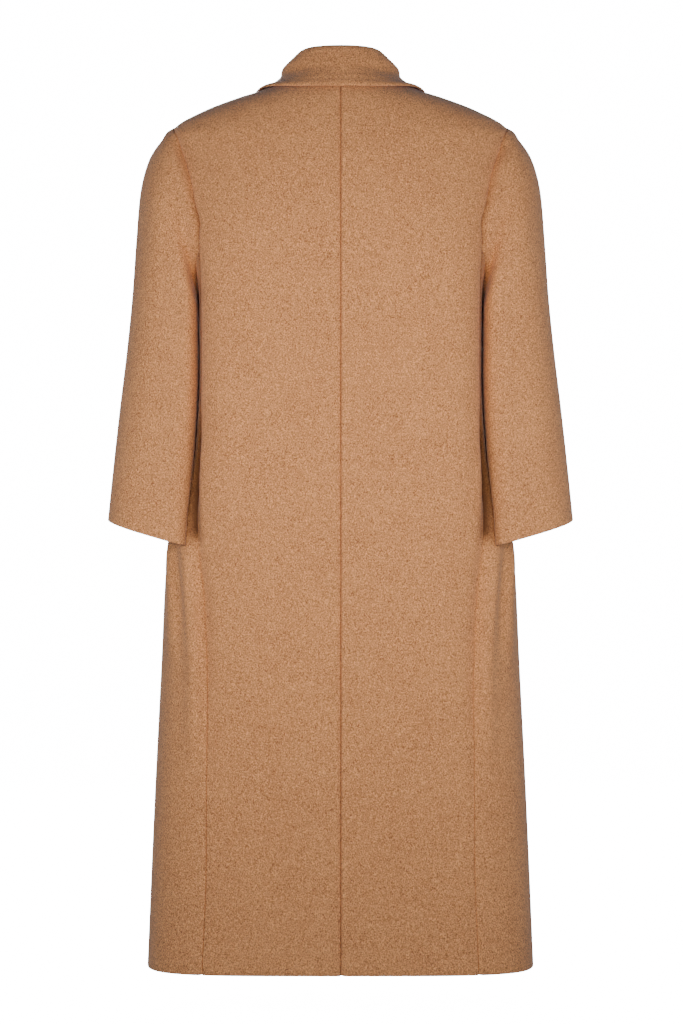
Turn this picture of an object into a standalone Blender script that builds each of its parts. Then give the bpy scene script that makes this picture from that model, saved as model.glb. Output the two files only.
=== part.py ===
"""Long wool coat kept in its worn form with no wearer: hollow cloth walls, one solid for each cut piece.

Frame: metres, +Z up, the back of the coat faces +Y and the wearer's left is +X. The origin is the middle of
the neck opening at the height of the neck seam.
"""

import math
from collections import namedtuple
from functools import lru_cache

import bmesh
import bpy
import numpy as np

# Cloth and seams
CLOTH = 0.0030
SEAM_GAP = 0.0003
ARMHOLE_GAP = 0.0007
LAYER_GAP = 0.0012
COLLAR_GAP = 0.0005

# Heights of the garment's lines
HEM = -1.200
BREAK = -0.360
PANEL_TOP = -0.235
UNDERARM = -0.300
SHOULDER_POINT = -0.0615
NECK_SEAM = 0.0

# Front closing
OVERLAP = 0.045
ROLL_TOP_X = 0.078
GORGE_START = SHOULDER_POINT
COLLAR_POINT_X, COLLAR_POINT_Z = 0.122, -0.083
LAPEL_TIP_X, LAPEL_TIP_Z = 0.140, -0.122
LAPEL_START = 0.05
LAPEL_BELLY = 0.007
NOTCH_SHARE = 0.55
GORGE_GAP = 0.0010

# Buttons on the centre front
BUTTON_RADIUS = 0.0140
BUTTON_THICK = 0.0045
BUTTON_LIP = 0.0030
BUTTON_DISH = 0.0012
BUTTON_OFF_CLOTH = 0.0006
BUTTON_HEIGHTS = (-0.385, -0.540, -0.695)
BUTTON_SEGMENTS = 20

# Fineness of the walls
BACK_COLUMNS = 11
BACK_CROWDING = 1.7
SIDE_COLUMNS = 10
FRONT_COLUMNS = 11
LAPEL_ROWS = 9
LAPEL_COLUMNS = 5
COLLAR_BACK_STEPS = 9
COLLAR_FRONT_STEPS = 6
OUTLINE_STEPS = 160
SLOPE_REACH = 0.0006
LOWER_ROWS = (HEM, -1.13, -1.05, -0.96, -0.87, -0.78, -0.70, -0.63, -0.56, -0.49, -0.42, BREAK, -0.31, -0.27,
              PANEL_TOP)
ARMHOLE_ROWS = (PANEL_TOP, -0.205, -0.175, -0.145, -0.118, -0.094, -0.076, -0.066, SHOULDER_POINT)
SHOULDER_ROWS = (SHOULDER_POINT, -0.049, -0.038, -0.028, -0.019, -0.011, -0.004, NECK_SEAM)

# Body sections: a rounded oblong at each height, from the hem up to the neck
BODY_COLUMNS = ("height", "half_width", "side_y", "back_y", "front_y", "back_square", "front_square")
BODY_ROWS = (
    (-1.200, 0.2620, -0.008, 0.151, -0.172, 4.30, 3.20),
    (-1.000, 0.2540, -0.008, 0.142, -0.168, 3.90, 3.10),
    (-0.800, 0.2445, -0.008, 0.132, -0.163, 3.60, 3.00),
    (-0.632, 0.2355, -0.009, 0.125, -0.160, 3.60, 3.00),
    (-0.560, 0.2090, -0.010, 0.122, -0.159, 5.20, 3.10),
    (-0.500, 0.1960, -0.012, 0.120, -0.158, 6.60, 3.20),
    (-0.400, 0.1905, -0.015, 0.118, -0.160, 7.00, 3.20),
    (-0.300, 0.1915, -0.015, 0.119, -0.163, 6.50, 3.00),
    (-0.235, 0.2030, -0.012, 0.1205, -0.158, 5.00, 2.70),
    (-0.200, 0.2150, -0.008, 0.120, -0.152, 3.70, 2.50),
    (-0.120, 0.2330, -0.004, 0.112, -0.126, 2.60, 2.40),
    (-0.078, 0.2375, 0.000, 0.103, -0.104, 2.40, 2.30),
    (-0.0615, 0.2250, 0.000, 0.098, -0.094, 2.35, 2.25),
    (-0.040, 0.1860, 0.000, 0.0915, -0.082, 2.25, 2.20),
    (-0.0236, 0.1432, 0.000, 0.0845, -0.072, 2.15, 2.10),
    (-0.014, 0.1130, 0.000, 0.078, -0.065, 2.10, 2.05),
    (0.000, 0.0800, 0.000, 0.066, -0.055, 2.00, 2.00),
    (0.050, 0.0700, 0.000, 0.058, -0.050, 2.00, 2.00),
)

# Seams of the left half
SIDE_BACK_COLUMNS = ("height", "across")
SIDE_BACK_ROWS = (
    (-1.200, 0.1830),
    (-1.050, 0.1780),
    (-0.850, 0.1780),
    (-0.710, 0.1835),
    (-0.630, 0.1925),
    (-0.560, 0.1965),
    (-0.480, 0.1905),
    (-0.400, 0.1878),
    (-0.310, 0.1880),
    (-0.270, 0.1885),
    (-0.235, 0.1900),
)
SIDE_FRONT_COLUMNS = ("height", "depth")
SIDE_FRONT_ROWS = (
    (-1.200, -0.062),
    (-0.800, -0.072),
    (-0.500, -0.080),
    (-0.235, -0.082),
)
ARMHOLE_COLUMNS = ("height", "back_depth", "front_depth")
ARMHOLE_TABLE_ROWS = (
    (-0.235, 0.0908, -0.082),
    (-0.205, 0.0904, -0.081),
    (-0.167, 0.0795, -0.079),
    (-0.140, 0.0715, -0.072),
    (-0.106, 0.0578, -0.056),
    (-0.078, 0.0460, -0.040),
    (-0.0665, 0.0250, -0.021),
    (-0.0615, 0.0000, 0.000),
)
UNDERARM_ROUNDNESS = 2.3

# Soft hanging folds of the side panels: a ridge that runs down beside the side back seam, and a shorter one
FOLD_COLUMNS = ("top", "bottom", "top_from_seam", "bottom_from_seam", "reach", "rise")
SIDE_FOLDS = (
    (-0.600, -0.960, 0.024, 0.019, 0.019, 0.0045),
    (-0.600, -0.820, 0.066, 0.056, 0.022, 0.0035),
)
FOLD_FADE = 0.30

# How far the right front stands off the body where it lies over the left one
RIGHT_LIFT_COLUMNS = ("height", "lift")
RIGHT_LIFT_ROWS = (
    (-1.200, 0.0045),
    (-0.460, 0.0048),
    (-0.370, 0.0094),
    (-0.230, 0.0094),
    (-0.140, 0.0020),
    (-0.080, 0.0000),
    (0.000, 0.0000),
)
LIFT_FULL, LIFT_NONE = 0.098, 0.190

# Sleeve rings from the shoulder down to the cuff; a ring lies between an inner and an outer point
SLEEVE_COLUMNS = ("inner_x", "inner_z", "outer_x", "outer_z", "middle_y", "half_depth", "skew", "inner_square",
                  "rear_drop")
SLEEVE_ROWS = (
    (0.1935, -0.3006, 0.2400, -0.0750, 0.000, 0.084, 0.004, 2.6, 0.0),
    (0.1935, -0.3025, 0.2615, -0.1055, 0.002, 0.085, 0.008, 3.4, 0.0),
    (0.1930, -0.3060, 0.2742, -0.1545, 0.005, 0.083, 0.010, 4.2, 0.0),
    (0.1920, -0.3120, 0.2795, -0.2210, 0.009, 0.079, 0.010, 4.4, 0.0),
    (0.1915, -0.3280, 0.2845, -0.2950, 0.013, 0.075, 0.010, 4.4, 0.0),
    (0.1910, -0.3920, 0.2918, -0.3700, 0.018, 0.071, 0.010, 4.2, 0.0),
    (0.1925, -0.4720, 0.3010, -0.4500, 0.026, 0.067, 0.010, 4.0, 0.0),
    (0.1965, -0.5570, 0.3090, -0.5280, 0.036, 0.062, 0.010, 3.8, 0.002),
    (0.2020, -0.6300, 0.3155, -0.5975, 0.046, 0.059, 0.010, 3.6, 0.004),
)
SLEEVE_STEPS = (3, 2, 1, 2, 2, 2, 2, 2, 2)
SLEEVE_OUTER_SQUARE = 2.4
SLEEVE_CLEAR = 0.0026
SLEEVE_CLEAR_STEP = 0.0007
PRESS_ROUNDS = 5

# Collar, by the length of the neck seam from the centre back
COLLAR_COLUMNS = ("along", "stand", "lean", "fall_x", "fall_y", "fall_z", "edge_x", "edge_y", "edge_z")
COLLAR_ROWS = (
    (0.000, 0.0386, 0.0022, 0.0000, 0.0740, 0.0115, 0.0000, 0.0865, -0.0138),
    (0.041, 0.0386, 0.0026, 0.0380, 0.0640, 0.0115, 0.0560, 0.0775, -0.0136),
    (0.079, 0.0376, -0.0010, 0.0690, 0.0365, 0.0090, 0.0955, 0.0475, -0.0118),
    (0.115, 0.0290, -0.0092, 0.0805, 0.0000, 0.0050, 0.1120, 0.0000, -0.0085),
    (0.156, 0.0170, -0.0030, 0.0870, -0.0400, -0.0050, 0.1190, -0.0400, -0.0240),
    (0.186, 0.0110, 0.0020, 0.0890, -0.0680, -0.0280, 0.1230, -0.0690, -0.0500),
)
COLLAR_END_STAND, COLLAR_END_LEAN = 0.0075, 0.0030
COLLAR_END_FALL_SHARE = 0.50
COLLAR_FOLD_RADIUS = 0.0060
COLLAR_OFF_BODY = CLOTH + LAYER_GAP
COLLAR_MIDDLE = np.array([0.0, 0.0, 0.060])
COLLAR_CROWN = 3
COLLAR_FALL = 5
COLLAR_EVENINGS = 3
SEAM_LINE_STEPS = 60
SEAM_LINE_REACH = 0.002

CAMEL_WOOL = (0.515, 0.275, 0.153, 1.0)
WOOL_ROUGHNESS = 0.9
BROWN_BUTTON = (0.090, 0.045, 0.025, 1.0)
BUTTON_ROUGHNESS = 0.35

Fold = namedtuple("Fold", FOLD_COLUMNS)
SleeveRing = namedtuple("SleeveRing", SLEEVE_COLUMNS)


def cubic_slopes(places, values):
    """Slopes of a cubic that passes through the rows and never swings past them."""
    steps = np.diff(places)[:, None]
    secants = np.diff(values, axis=0) / steps
    slopes = np.zeros_like(values)
    slopes[0] = secants[0]
    slopes[-1] = secants[-1]
    before = secants[:-1]
    after = secants[1:]
    product = before * after
    total = before + after
    safe = np.where(product > 0, total, 1.0)
    slopes[1:-1] = np.where(product > 0, 2 * product / safe, 0.0)
    return slopes


def cubic_value(places, values, slopes, place):
    """The rows read at one place between them."""
    place = min(max(place, places[0]), places[-1])
    k = min(max(int(np.searchsorted(places, place)) - 1, 0), len(places) - 2)
    step = places[k + 1] - places[k]
    t = (place - places[k]) / step
    start = (1 + 2 * t) * (1 - t) ** 2
    end = t * t * (3 - 2 * t)
    leave = t * (1 - t) ** 2 * step
    arrive = t * t * (t - 1) * step
    return start * values[k] + end * values[k + 1] + leave * slopes[k] + arrive * slopes[k + 1]


class Table:
    """Rows of named columns, read at any place of the first column."""

    def __init__(self, columns, rows):
        data = np.array(rows, float)
        self.row = namedtuple("Row", columns[1:])
        self.places = data[:, 0]
        self.values = data[:, 1:]
        self.slopes = cubic_slopes(self.places, self.values)

    def at(self, place):
        return self.row(*cubic_value(self.places, self.values, self.slopes, place))


BODY = Table(BODY_COLUMNS, BODY_ROWS)
SIDE_BACK = Table(SIDE_BACK_COLUMNS, SIDE_BACK_ROWS)
SIDE_FRONT = Table(SIDE_FRONT_COLUMNS, SIDE_FRONT_ROWS)
ARMHOLE = Table(ARMHOLE_COLUMNS, ARMHOLE_TABLE_ROWS)
RIGHT_LIFT = Table(RIGHT_LIFT_COLUMNS, RIGHT_LIFT_ROWS)


@lru_cache(maxsize=None)
def section(z):
    """The body's section sizes at one height."""
    return BODY.at(z)


@lru_cache(maxsize=None)
def outline(z):
    """Half a section, centre back to centre front: points, girth shares, girth, share at the side."""
    s = section(z)
    turn = np.linspace(0, math.pi / 2, OUTLINE_STEPS + 1)
    back_power = 2 / s.back_square
    front_power = 2 / s.front_square
    sine = np.sin(turn)
    cosine = np.maximum(np.cos(turn), 0)
    back_x = s.half_width * sine**back_power
    back_y = s.side_y + (s.back_y - s.side_y) * cosine**back_power
    front_x = (s.half_width * sine**front_power)[::-1]
    front_y = (s.side_y + (s.front_y - s.side_y) * cosine**front_power)[::-1]
    points = np.column_stack([np.append(back_x, front_x[1:]), np.append(back_y, front_y[1:])])
    along = np.append(0, np.cumsum(np.linalg.norm(np.diff(points, axis=0), axis=1)))
    return points, along / along[-1], along[-1], along[OUTLINE_STEPS] / along[-1]


def girth(z):
    return outline(z)[2]


def side_share(z):
    return outline(z)[3]


def share_of_back_x(x, z):
    """Girth share of the point of the back half at this distance across."""
    points, along, _, _ = outline(z)
    return float(np.interp(x, points[: OUTLINE_STEPS + 1, 0], along[: OUTLINE_STEPS + 1]))


def share_of_depth(y, z):
    """Girth share of the point at this depth: depth falls all the way from the back to the front."""
    points, along, _, _ = outline(z)
    return float(np.interp(-y, -points[:, 1], along))


def share_of_front_x(x, z):
    """Girth share of the front point at this distance across; past the centre front it goes on over 1."""
    points, along, _, _ = outline(z)
    share = float(np.interp(-abs(x), -points[OUTLINE_STEPS:, 0], along[OUTLINE_STEPS:]))
    return share if x >= 0 else 2 - share


def on_body(share, z):
    """Point of the left half of the body at a girth share and a height."""
    side = 1 if share <= 1 else -1
    share = share if share <= 1 else 2 - share
    points, along, _, _ = outline(z)
    return np.array([side * np.interp(share, along, points[:, 0]), np.interp(share, along, points[:, 1]), z])


def level(p):
    """How far out a point lies: 1 on the body's surface, more outside it."""
    s = section(p[2])
    behind = p[1] > s.side_y
    depth = s.back_y - s.side_y if behind else s.side_y - s.front_y
    square = s.back_square if behind else s.front_square
    return ((abs(p[0]) / s.half_width) ** square + (abs(p[1] - s.side_y) / depth) ** square) ** (1 / square)


def level_slope(p):
    """Slope of the level, which points straight out of the body."""
    slope = np.zeros(3)
    for axis in range(3):
        step = np.zeros(3)
        step[axis] = SLOPE_REACH
        slope[axis] = (level(p + step) - level(p - step)) / (2 * SLOPE_REACH)
    return slope


def outward(p):
    slope = level_slope(p)
    return slope / np.linalg.norm(slope)


def pressed_off(p, clearance):
    """The point, moved straight out where it lies nearer the body than the clearance."""
    for _ in range(PRESS_ROUNDS):
        slope = level_slope(p)
        steep = np.linalg.norm(slope)
        away = (level(p) - 1) / steep
        if away >= clearance:
            break
        p = p + slope / steep * (clearance - away)
    return p


def roll_x(z):
    """Distance across of the left front's roll line, from the break up to the neck."""
    return -OVERLAP + (z - BREAK) / (NECK_SEAM - BREAK) * (ROLL_TOP_X + OVERLAP)


def smooth_ramp(t):
    t = min(max(t, 0.0), 1.0)
    return t * t * (3 - 2 * t)


def back_outer_share(z):
    """The back panel's outer edge: side seam, then armhole, then shoulder seam."""
    if z <= PANEL_TOP:
        return share_of_back_x(SIDE_BACK.at(z).across, z)
    if z < SHOULDER_POINT:
        return share_of_depth(ARMHOLE.at(z).back_depth, z)
    return side_share(z)


def front_outer_share(z):
    """The front panel's outer edge: side seam, then armhole, then shoulder seam."""
    if z <= PANEL_TOP:
        return share_of_depth(SIDE_FRONT.at(z).depth, z)
    if z < SHOULDER_POINT:
        return share_of_depth(ARMHOLE.at(z).front_depth, z)
    return side_share(z)


def front_edge_share(z):
    """The front panel's free edge: the straight closing edge, then the roll line."""
    if z <= BREAK:
        return share_of_front_x(-OVERLAP, z)
    return share_of_front_x(roll_x(z), z)


def side_top(s):
    """Height of the side panel's top edge, which rounds under the arm."""
    return UNDERARM + (PANEL_TOP - UNDERARM) * abs(2 * s - 1) ** UNDERARM_ROUNDNESS


def fold_lift(from_seam, z):
    """How far the side panel's soft folds stand out at a distance from the side back seam."""
    total = 0.0
    for row in SIDE_FOLDS:
        fold = Fold(*row)
        down = (fold.top - z) / (fold.top - fold.bottom)
        if 0 < down < 1:
            middle = fold.top_from_seam + down * (fold.bottom_from_seam - fold.top_from_seam)
            near = max(0.0, 1 - abs(from_seam - middle) / fold.reach)
            fade = smooth_ramp(down / FOLD_FADE) * smooth_ramp((1 - down) / FOLD_FADE)
            total += fold.rise * smooth_ramp(near) * fade
    return total


def right_front_lift(from_edge, z):
    """How far the right front stands off the body at a distance from its free edge."""
    return RIGHT_LIFT.at(z).lift * smooth_ramp((LIFT_NONE - from_edge) / (LIFT_NONE - LIFT_FULL))


def mirrored(points, side):
    return points * np.array([side, 1.0, 1.0])


def wall_points(shares, heights, lifts):
    """Outer and inner points of a wall on the body, from grids of girth shares, heights and lifts."""
    outer = np.zeros(shares.shape + (3,))
    inner = np.zeros_like(outer)
    for k in np.ndindex(shares.shape):
        point = on_body(shares[k], heights[k])
        out = outward(point)
        outer[k] = point + out * lifts[k]
        inner[k] = outer[k] - out * CLOTH
    return outer, inner


def solid_wall(name, outer, inner, material, closed=False):
    """One body between an outer and an inner grid; a closed grid joins its last column to its first."""
    rows, columns = outer.shape[:2]
    mesh = bmesh.new()
    skins = [[[mesh.verts.new(p) for p in row] for row in skin] for skin in (outer, inner)]
    spans = columns if closed else columns - 1
    for skin in skins:
        for i in range(rows - 1):
            for j in range(spans):
                n = (j + 1) % columns
                mesh.faces.new((skin[i][j], skin[i][n], skin[i + 1][n], skin[i + 1][j]))
    rims = []
    for i in (0, rows - 1):
        rims += [((i, j), (i, (j + 1) % columns)) for j in range(spans)]
    if not closed:
        for j in (0, columns - 1):
            rims += [((i, j), (i + 1, j)) for i in range(rows - 1)]
    for (a, b), (c, d) in rims:
        rim = mesh.faces.new((skins[0][a][b], skins[0][c][d], skins[1][c][d], skins[1][a][b]))
        for edge in rim.edges:
            edge.smooth = False
    return finished(name, mesh, material)


def finished(name, mesh, material):
    """The mesh as a named object with its faces pointing out."""
    bmesh.ops.recalc_face_normals(mesh, faces=mesh.faces)
    for face in mesh.faces:
        face.smooth = True
    data = bpy.data.meshes.new(name)
    mesh.to_mesh(data)
    mesh.free()
    data.materials.append(material)
    thing = bpy.data.objects.new(name, data)
    bpy.context.scene.collection.objects.link(thing)
    return thing


def finish_material(name, colour, roughness):
    material = bpy.data.materials.new(name)
    material.use_nodes = True
    shader = material.node_tree.nodes["Principled BSDF"]
    shader.inputs["Base Color"].default_value = colour
    shader.inputs["Roughness"].default_value = roughness
    return material


def back_panel(name, side, material):
    heights = LOWER_ROWS + ARMHOLE_ROWS[1:] + SHOULDER_ROWS[1:]
    places = 1 - np.linspace(1, 0, BACK_COLUMNS + 1) ** BACK_CROWDING
    shares = []
    for z in heights:
        gap = SEAM_GAP / 2 / girth(z)
        shares.append(gap + places * (back_outer_share(z) - 2 * gap))
    shares = np.array(shares)
    grid = np.repeat(np.array(heights)[:, None], BACK_COLUMNS + 1, axis=1)
    outer, inner = wall_points(shares, grid, np.zeros_like(shares))
    return solid_wall(name, mirrored(outer, side), mirrored(inner, side), material)


def side_grid():
    """Girth shares, heights and fold lifts of the left side panel."""
    steps = [(z - HEM) / (PANEL_TOP - HEM) for z in LOWER_ROWS]
    across = np.linspace(0, 1, SIDE_COLUMNS + 1)
    shares = np.zeros((len(steps), len(across)))
    heights = np.zeros_like(shares)
    lifts = np.zeros_like(shares)
    for i, t in enumerate(steps):
        for j, s in enumerate(across):
            z = HEM + t * (side_top(s) - HEM)
            gap = SEAM_GAP / 2 / girth(z)
            start = back_outer_share(z)
            end = front_outer_share(z)
            shares[i, j] = start + gap + s * (end - start - 2 * gap)
            heights[i, j] = z
            lifts[i, j] = fold_lift((shares[i, j] - start) * girth(z), z)
    return shares, heights, lifts


def side_panel(name, side, material):
    outer, inner = wall_points(*side_grid())
    return solid_wall(name, mirrored(outer, side), mirrored(inner, side), material)


def front_panel(name, side, material):
    """A front, built on the left half; the right one stands off the body near its free edge."""
    heights = LOWER_ROWS + ARMHOLE_ROWS[1:] + SHOULDER_ROWS[1:]
    shares = []
    lifts = []
    for z in heights:
        gap = SEAM_GAP / 2 / girth(z)
        row = np.linspace(front_outer_share(z) + gap, front_edge_share(z), FRONT_COLUMNS + 1)
        shares.append(row)
        from_edge = (row[-1] - row) * girth(z)
        lifts.append([right_front_lift(d, z) if side < 0 else 0.0 for d in from_edge])
    shares = np.array(shares)
    grid = np.repeat(np.array(heights)[:, None], FRONT_COLUMNS + 1, axis=1)
    outer, inner = wall_points(shares, grid, np.array(lifts))
    return solid_wall(name, mirrored(outer, side), mirrored(inner, side), material)


def armhole_ring():
    """The left armhole's edge points, from the shoulder point down the back and up the front."""
    ring = [on_body(back_outer_share(z), z) for z in reversed(ARMHOLE_ROWS)]
    shares, heights, _ = side_grid()
    ring += [on_body(f, z) for f, z in zip(shares[-1, 1:-1], heights[-1, 1:-1])]
    ring += [on_body(front_outer_share(z), z) for z in ARMHOLE_ROWS[:-1]]
    return np.array(ring)


def ring_turns(ring):
    """Each armhole point's angle round the sleeve: 0 at the shoulder point, half a turn at the underarm."""
    closed = np.vstack([ring, ring[:1]])
    along = np.append(0, np.cumsum(np.linalg.norm(np.diff(closed, axis=0), axis=1)))
    low = len(ARMHOLE_ROWS) - 1 + SIDE_COLUMNS // 2
    places = along[:-1]
    back = math.pi * places / along[low]
    front = math.pi + math.pi * (places - along[low]) / (along[-1] - along[low])
    return np.where(places <= along[low], back, front)


def sleeve_ring(row, turns):
    """Points of one ring of the left sleeve at the given angles."""
    r = SleeveRing(*row)
    inner = np.array([r.inner_x, 0, r.inner_z])
    outer = np.array([r.outer_x, 0, r.outer_z])
    square = np.where(np.cos(turns) < 0, r.inner_square, SLEEVE_OUTER_SQUARE)
    reach = np.sign(np.cos(turns)) * np.abs(np.cos(turns)) ** (2 / square)
    rear = np.sign(np.sin(turns)) * np.abs(np.sin(turns)) ** (2 / square)
    points = (inner + outer) / 2 + reach[:, None] * (outer - inner) / 2
    points[:, 1] = r.middle_y + r.half_depth * rear - r.skew * reach
    points[:, 2] -= r.rear_drop * rear
    return points


def grid_normals(points):
    """Outward normals of a tube grid whose columns join round."""
    along = np.gradient(points, axis=0)
    round_it = np.roll(points, -1, axis=1) - np.roll(points, 1, axis=1)
    normals = np.cross(round_it, along)
    normals /= np.linalg.norm(normals, axis=2)[:, :, None]
    middles = points.mean(axis=1, keepdims=True)
    facing = np.sign(np.sum(normals * (points - middles)))
    return normals * facing


def sleeve_grids():
    """Outer and inner points of the left sleeve, from the armhole to the cuff."""
    armhole = armhole_ring()
    turns = ring_turns(armhole)
    key_rings = np.array([armhole] + [sleeve_ring(row, turns) for row in SLEEVE_ROWS])
    places = np.arange(len(key_rings), dtype=float)
    flat = key_rings.reshape(len(key_rings), -1)
    slopes = cubic_slopes(places, flat)
    at = [k + n / steps for k, steps in enumerate(SLEEVE_STEPS) for n in range(steps)] + [places[-1]]
    outer = np.array([cubic_value(places, flat, slopes, a) for a in at]).reshape(len(at), -1, 3)
    for i in range(1, len(at)):
        clearance = min(SLEEVE_CLEAR, SLEEVE_CLEAR_STEP * (i + 1))
        for j in range(outer.shape[1]):
            outer[i, j] = pressed_off(outer[i, j], clearance)
    start = outer[1] - outer[0]
    outer[0] += start / np.linalg.norm(start, axis=1)[:, None] * ARMHOLE_GAP
    normals = grid_normals(outer)
    seam = normals[0] + np.array([outward(p) for p in armhole])
    normals[0] = seam / np.linalg.norm(seam, axis=1)[:, None]
    return outer, outer - normals * CLOTH


def sleeve(name, side, material):
    outer, inner = sleeve_grids()
    return solid_wall(name, mirrored(outer, side), mirrored(inner, side), material, closed=True)


def front_point(x, z, lift):
    """Point of the left front at a distance across and a height, moved out by a lift."""
    point = on_body(share_of_front_x(x, z), z)
    return point + outward(point) * lift


@lru_cache(maxsize=None)
def neck_seam_line():
    """The left half of the collar's seam: round the neck ring, then down the roll line."""
    start = share_of_front_x(ROLL_TOP_X, NECK_SEAM)
    ring = [on_body(share, NECK_SEAM) for share in np.linspace(0, start, SEAM_LINE_STEPS)]
    roll = [on_body(share_of_front_x(roll_x(z), z), z) for z in SHOULDER_ROWS[-2::-1]]
    line = np.array(ring + roll)
    along = np.append(0, np.cumsum(np.linalg.norm(np.diff(line, axis=0), axis=1)))
    return line, along


def neck_seam_point(along):
    line, places = neck_seam_line()
    return np.array([np.interp(along, places, line[:, axis]) for axis in range(3)])


def collar_table():
    """The collar's rows with the front end added, whose fall lies on the front along the gorge line."""
    end = neck_seam_line()[1][-1]
    start = np.array([roll_x(GORGE_START), GORGE_START])
    point = np.array([COLLAR_POINT_X, COLLAR_POINT_Z])
    middle = start + COLLAR_END_FALL_SHARE * (point - start)
    fall = front_point(*middle, COLLAR_OFF_BODY)
    edge = front_point(*point, COLLAR_OFF_BODY)
    last = (end, COLLAR_END_STAND, COLLAR_END_LEAN, *fall, *edge)
    return Table(COLLAR_COLUMNS, COLLAR_ROWS + (last,))


def collar_profile(table, along):
    """The collar's shown face at one station: up the stand, over the fold, down the fall to its edge."""
    row = table.at(along)
    fall = np.array([row.fall_x, row.fall_y, row.fall_z])
    edge = np.array([row.edge_x, row.edge_y, row.edge_z])
    seam = neck_seam_point(along)
    out = outward(seam)
    tangent = neck_seam_point(along + SEAM_LINE_REACH) - neck_seam_point(along - SEAM_LINE_REACH)
    if along < SEAM_LINE_REACH:
        tangent = np.array([1.0, 0.0, 0.0])
    rise = np.cross(tangent, out)
    rise /= np.linalg.norm(rise)
    rise *= np.sign(np.dot(rise, COLLAR_MIDDLE - seam))
    fold = seam + rise * row.stand + out * row.lean
    foot = seam + rise * COLLAR_GAP - out * CLOTH
    neck_side = fold - out * COLLAR_FOLD_RADIUS
    crown = fold + rise * COLLAR_FOLD_RADIUS
    fall_side = fold + out * COLLAR_FOLD_RADIUS
    stand_middle = (foot + neck_side) / 2
    upper = (fall_side + fall) / 2
    lower = (fall + edge) / 2
    return [foot, stand_middle, neck_side, crown, fall_side, upper, fall, lower, edge]


def collar_grids():
    """Shown and hidden points of the collar, from its right end round the back to its left end."""
    table = collar_table()
    corner = neck_seam_line()[1][SEAM_LINE_STEPS - 1]
    back = np.linspace(0, corner, COLLAR_BACK_STEPS + 1)
    front = np.linspace(corner, table.places[-1], COLLAR_FRONT_STEPS + 1)
    stations = np.append(back, front[1:])
    half = np.array([collar_profile(table, a) for a in stations])
    for _ in range(COLLAR_EVENINGS):
        before = np.vstack([mirrored(half[1:2], -1), half[:-2]])
        half[:-1, 1:] = (before + 2 * half[:-1] + half[1:])[:, 1:] / 4
    for k in np.ndindex(len(stations), half.shape[1] - COLLAR_FALL):
        place = (k[0], k[1] + COLLAR_FALL)
        half[place] = pressed_off(half[place], COLLAR_OFF_BODY)
    face = np.vstack([mirrored(half[:0:-1], -1), half])
    along = np.gradient(face, axis=0)
    across = np.gradient(face, axis=1)
    normals = np.cross(across, along)
    normals /= np.linalg.norm(normals, axis=2)[:, :, None]
    normals *= np.sign(normals[len(stations) - 1, COLLAR_CROWN][2])
    return face, face - normals * CLOTH


def collar(name, material):
    face, hidden = collar_grids()
    return solid_wall(name, face, hidden, material)


def lapel_outline(r, c):
    """Distance across and height of a lapel point: r runs up the roll line, c out to the free edge."""
    z_roll = BREAK + (LAPEL_START + (1 - LAPEL_START) * r) * (GORGE_START - GORGE_GAP - BREAK)
    roll = np.array([roll_x(z_roll), z_roll])
    start = np.array([-OVERLAP, BREAK])
    tip = np.array([LAPEL_TIP_X, LAPEL_TIP_Z])
    up = LAPEL_START + (1 - LAPEL_START) * r
    run = tip - start
    belly = np.array([run[1], -run[0]]) / np.linalg.norm(run) * LAPEL_BELLY
    edge = start + up * run + math.sin(math.pi * up) * belly
    point = roll + c * (edge - roll)
    collar_end = np.array([COLLAR_POINT_X, COLLAR_POINT_Z - GORGE_GAP])
    top = np.array([roll_x(GORGE_START - GORGE_GAP), GORGE_START - GORGE_GAP])
    notch = top + NOTCH_SHARE * (collar_end - top)
    if c <= NOTCH_SHARE:
        bent = top + c / NOTCH_SHARE * (notch - top)
    else:
        bent = notch + (c - NOTCH_SHARE) / (1 - NOTCH_SHARE) * (tip - notch)
    straight = top + c * (tip - top)
    return point + smooth_ramp(2 * r - 1) * (bent - straight)


def lapel(name, side, material):
    """A lapel turned back on its front: the front's points, moved out by a layer."""
    outer = np.zeros((LAPEL_ROWS + 1, LAPEL_COLUMNS + 1, 3))
    inner = np.zeros_like(outer)
    for i in range(LAPEL_ROWS + 1):
        for j in range(LAPEL_COLUMNS + 1):
            x, z = lapel_outline(i / LAPEL_ROWS, j / LAPEL_COLUMNS)
            from_edge = (front_edge_share(z) - share_of_front_x(x, z)) * girth(z)
            under = right_front_lift(from_edge, z) if side < 0 else 0.0
            outer[i, j] = front_point(x, z, under + CLOTH + LAYER_GAP)
            inner[i, j] = front_point(x, z, under + LAYER_GAP)
    return solid_wall(name, mirrored(outer, side), mirrored(inner, side), material)


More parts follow.
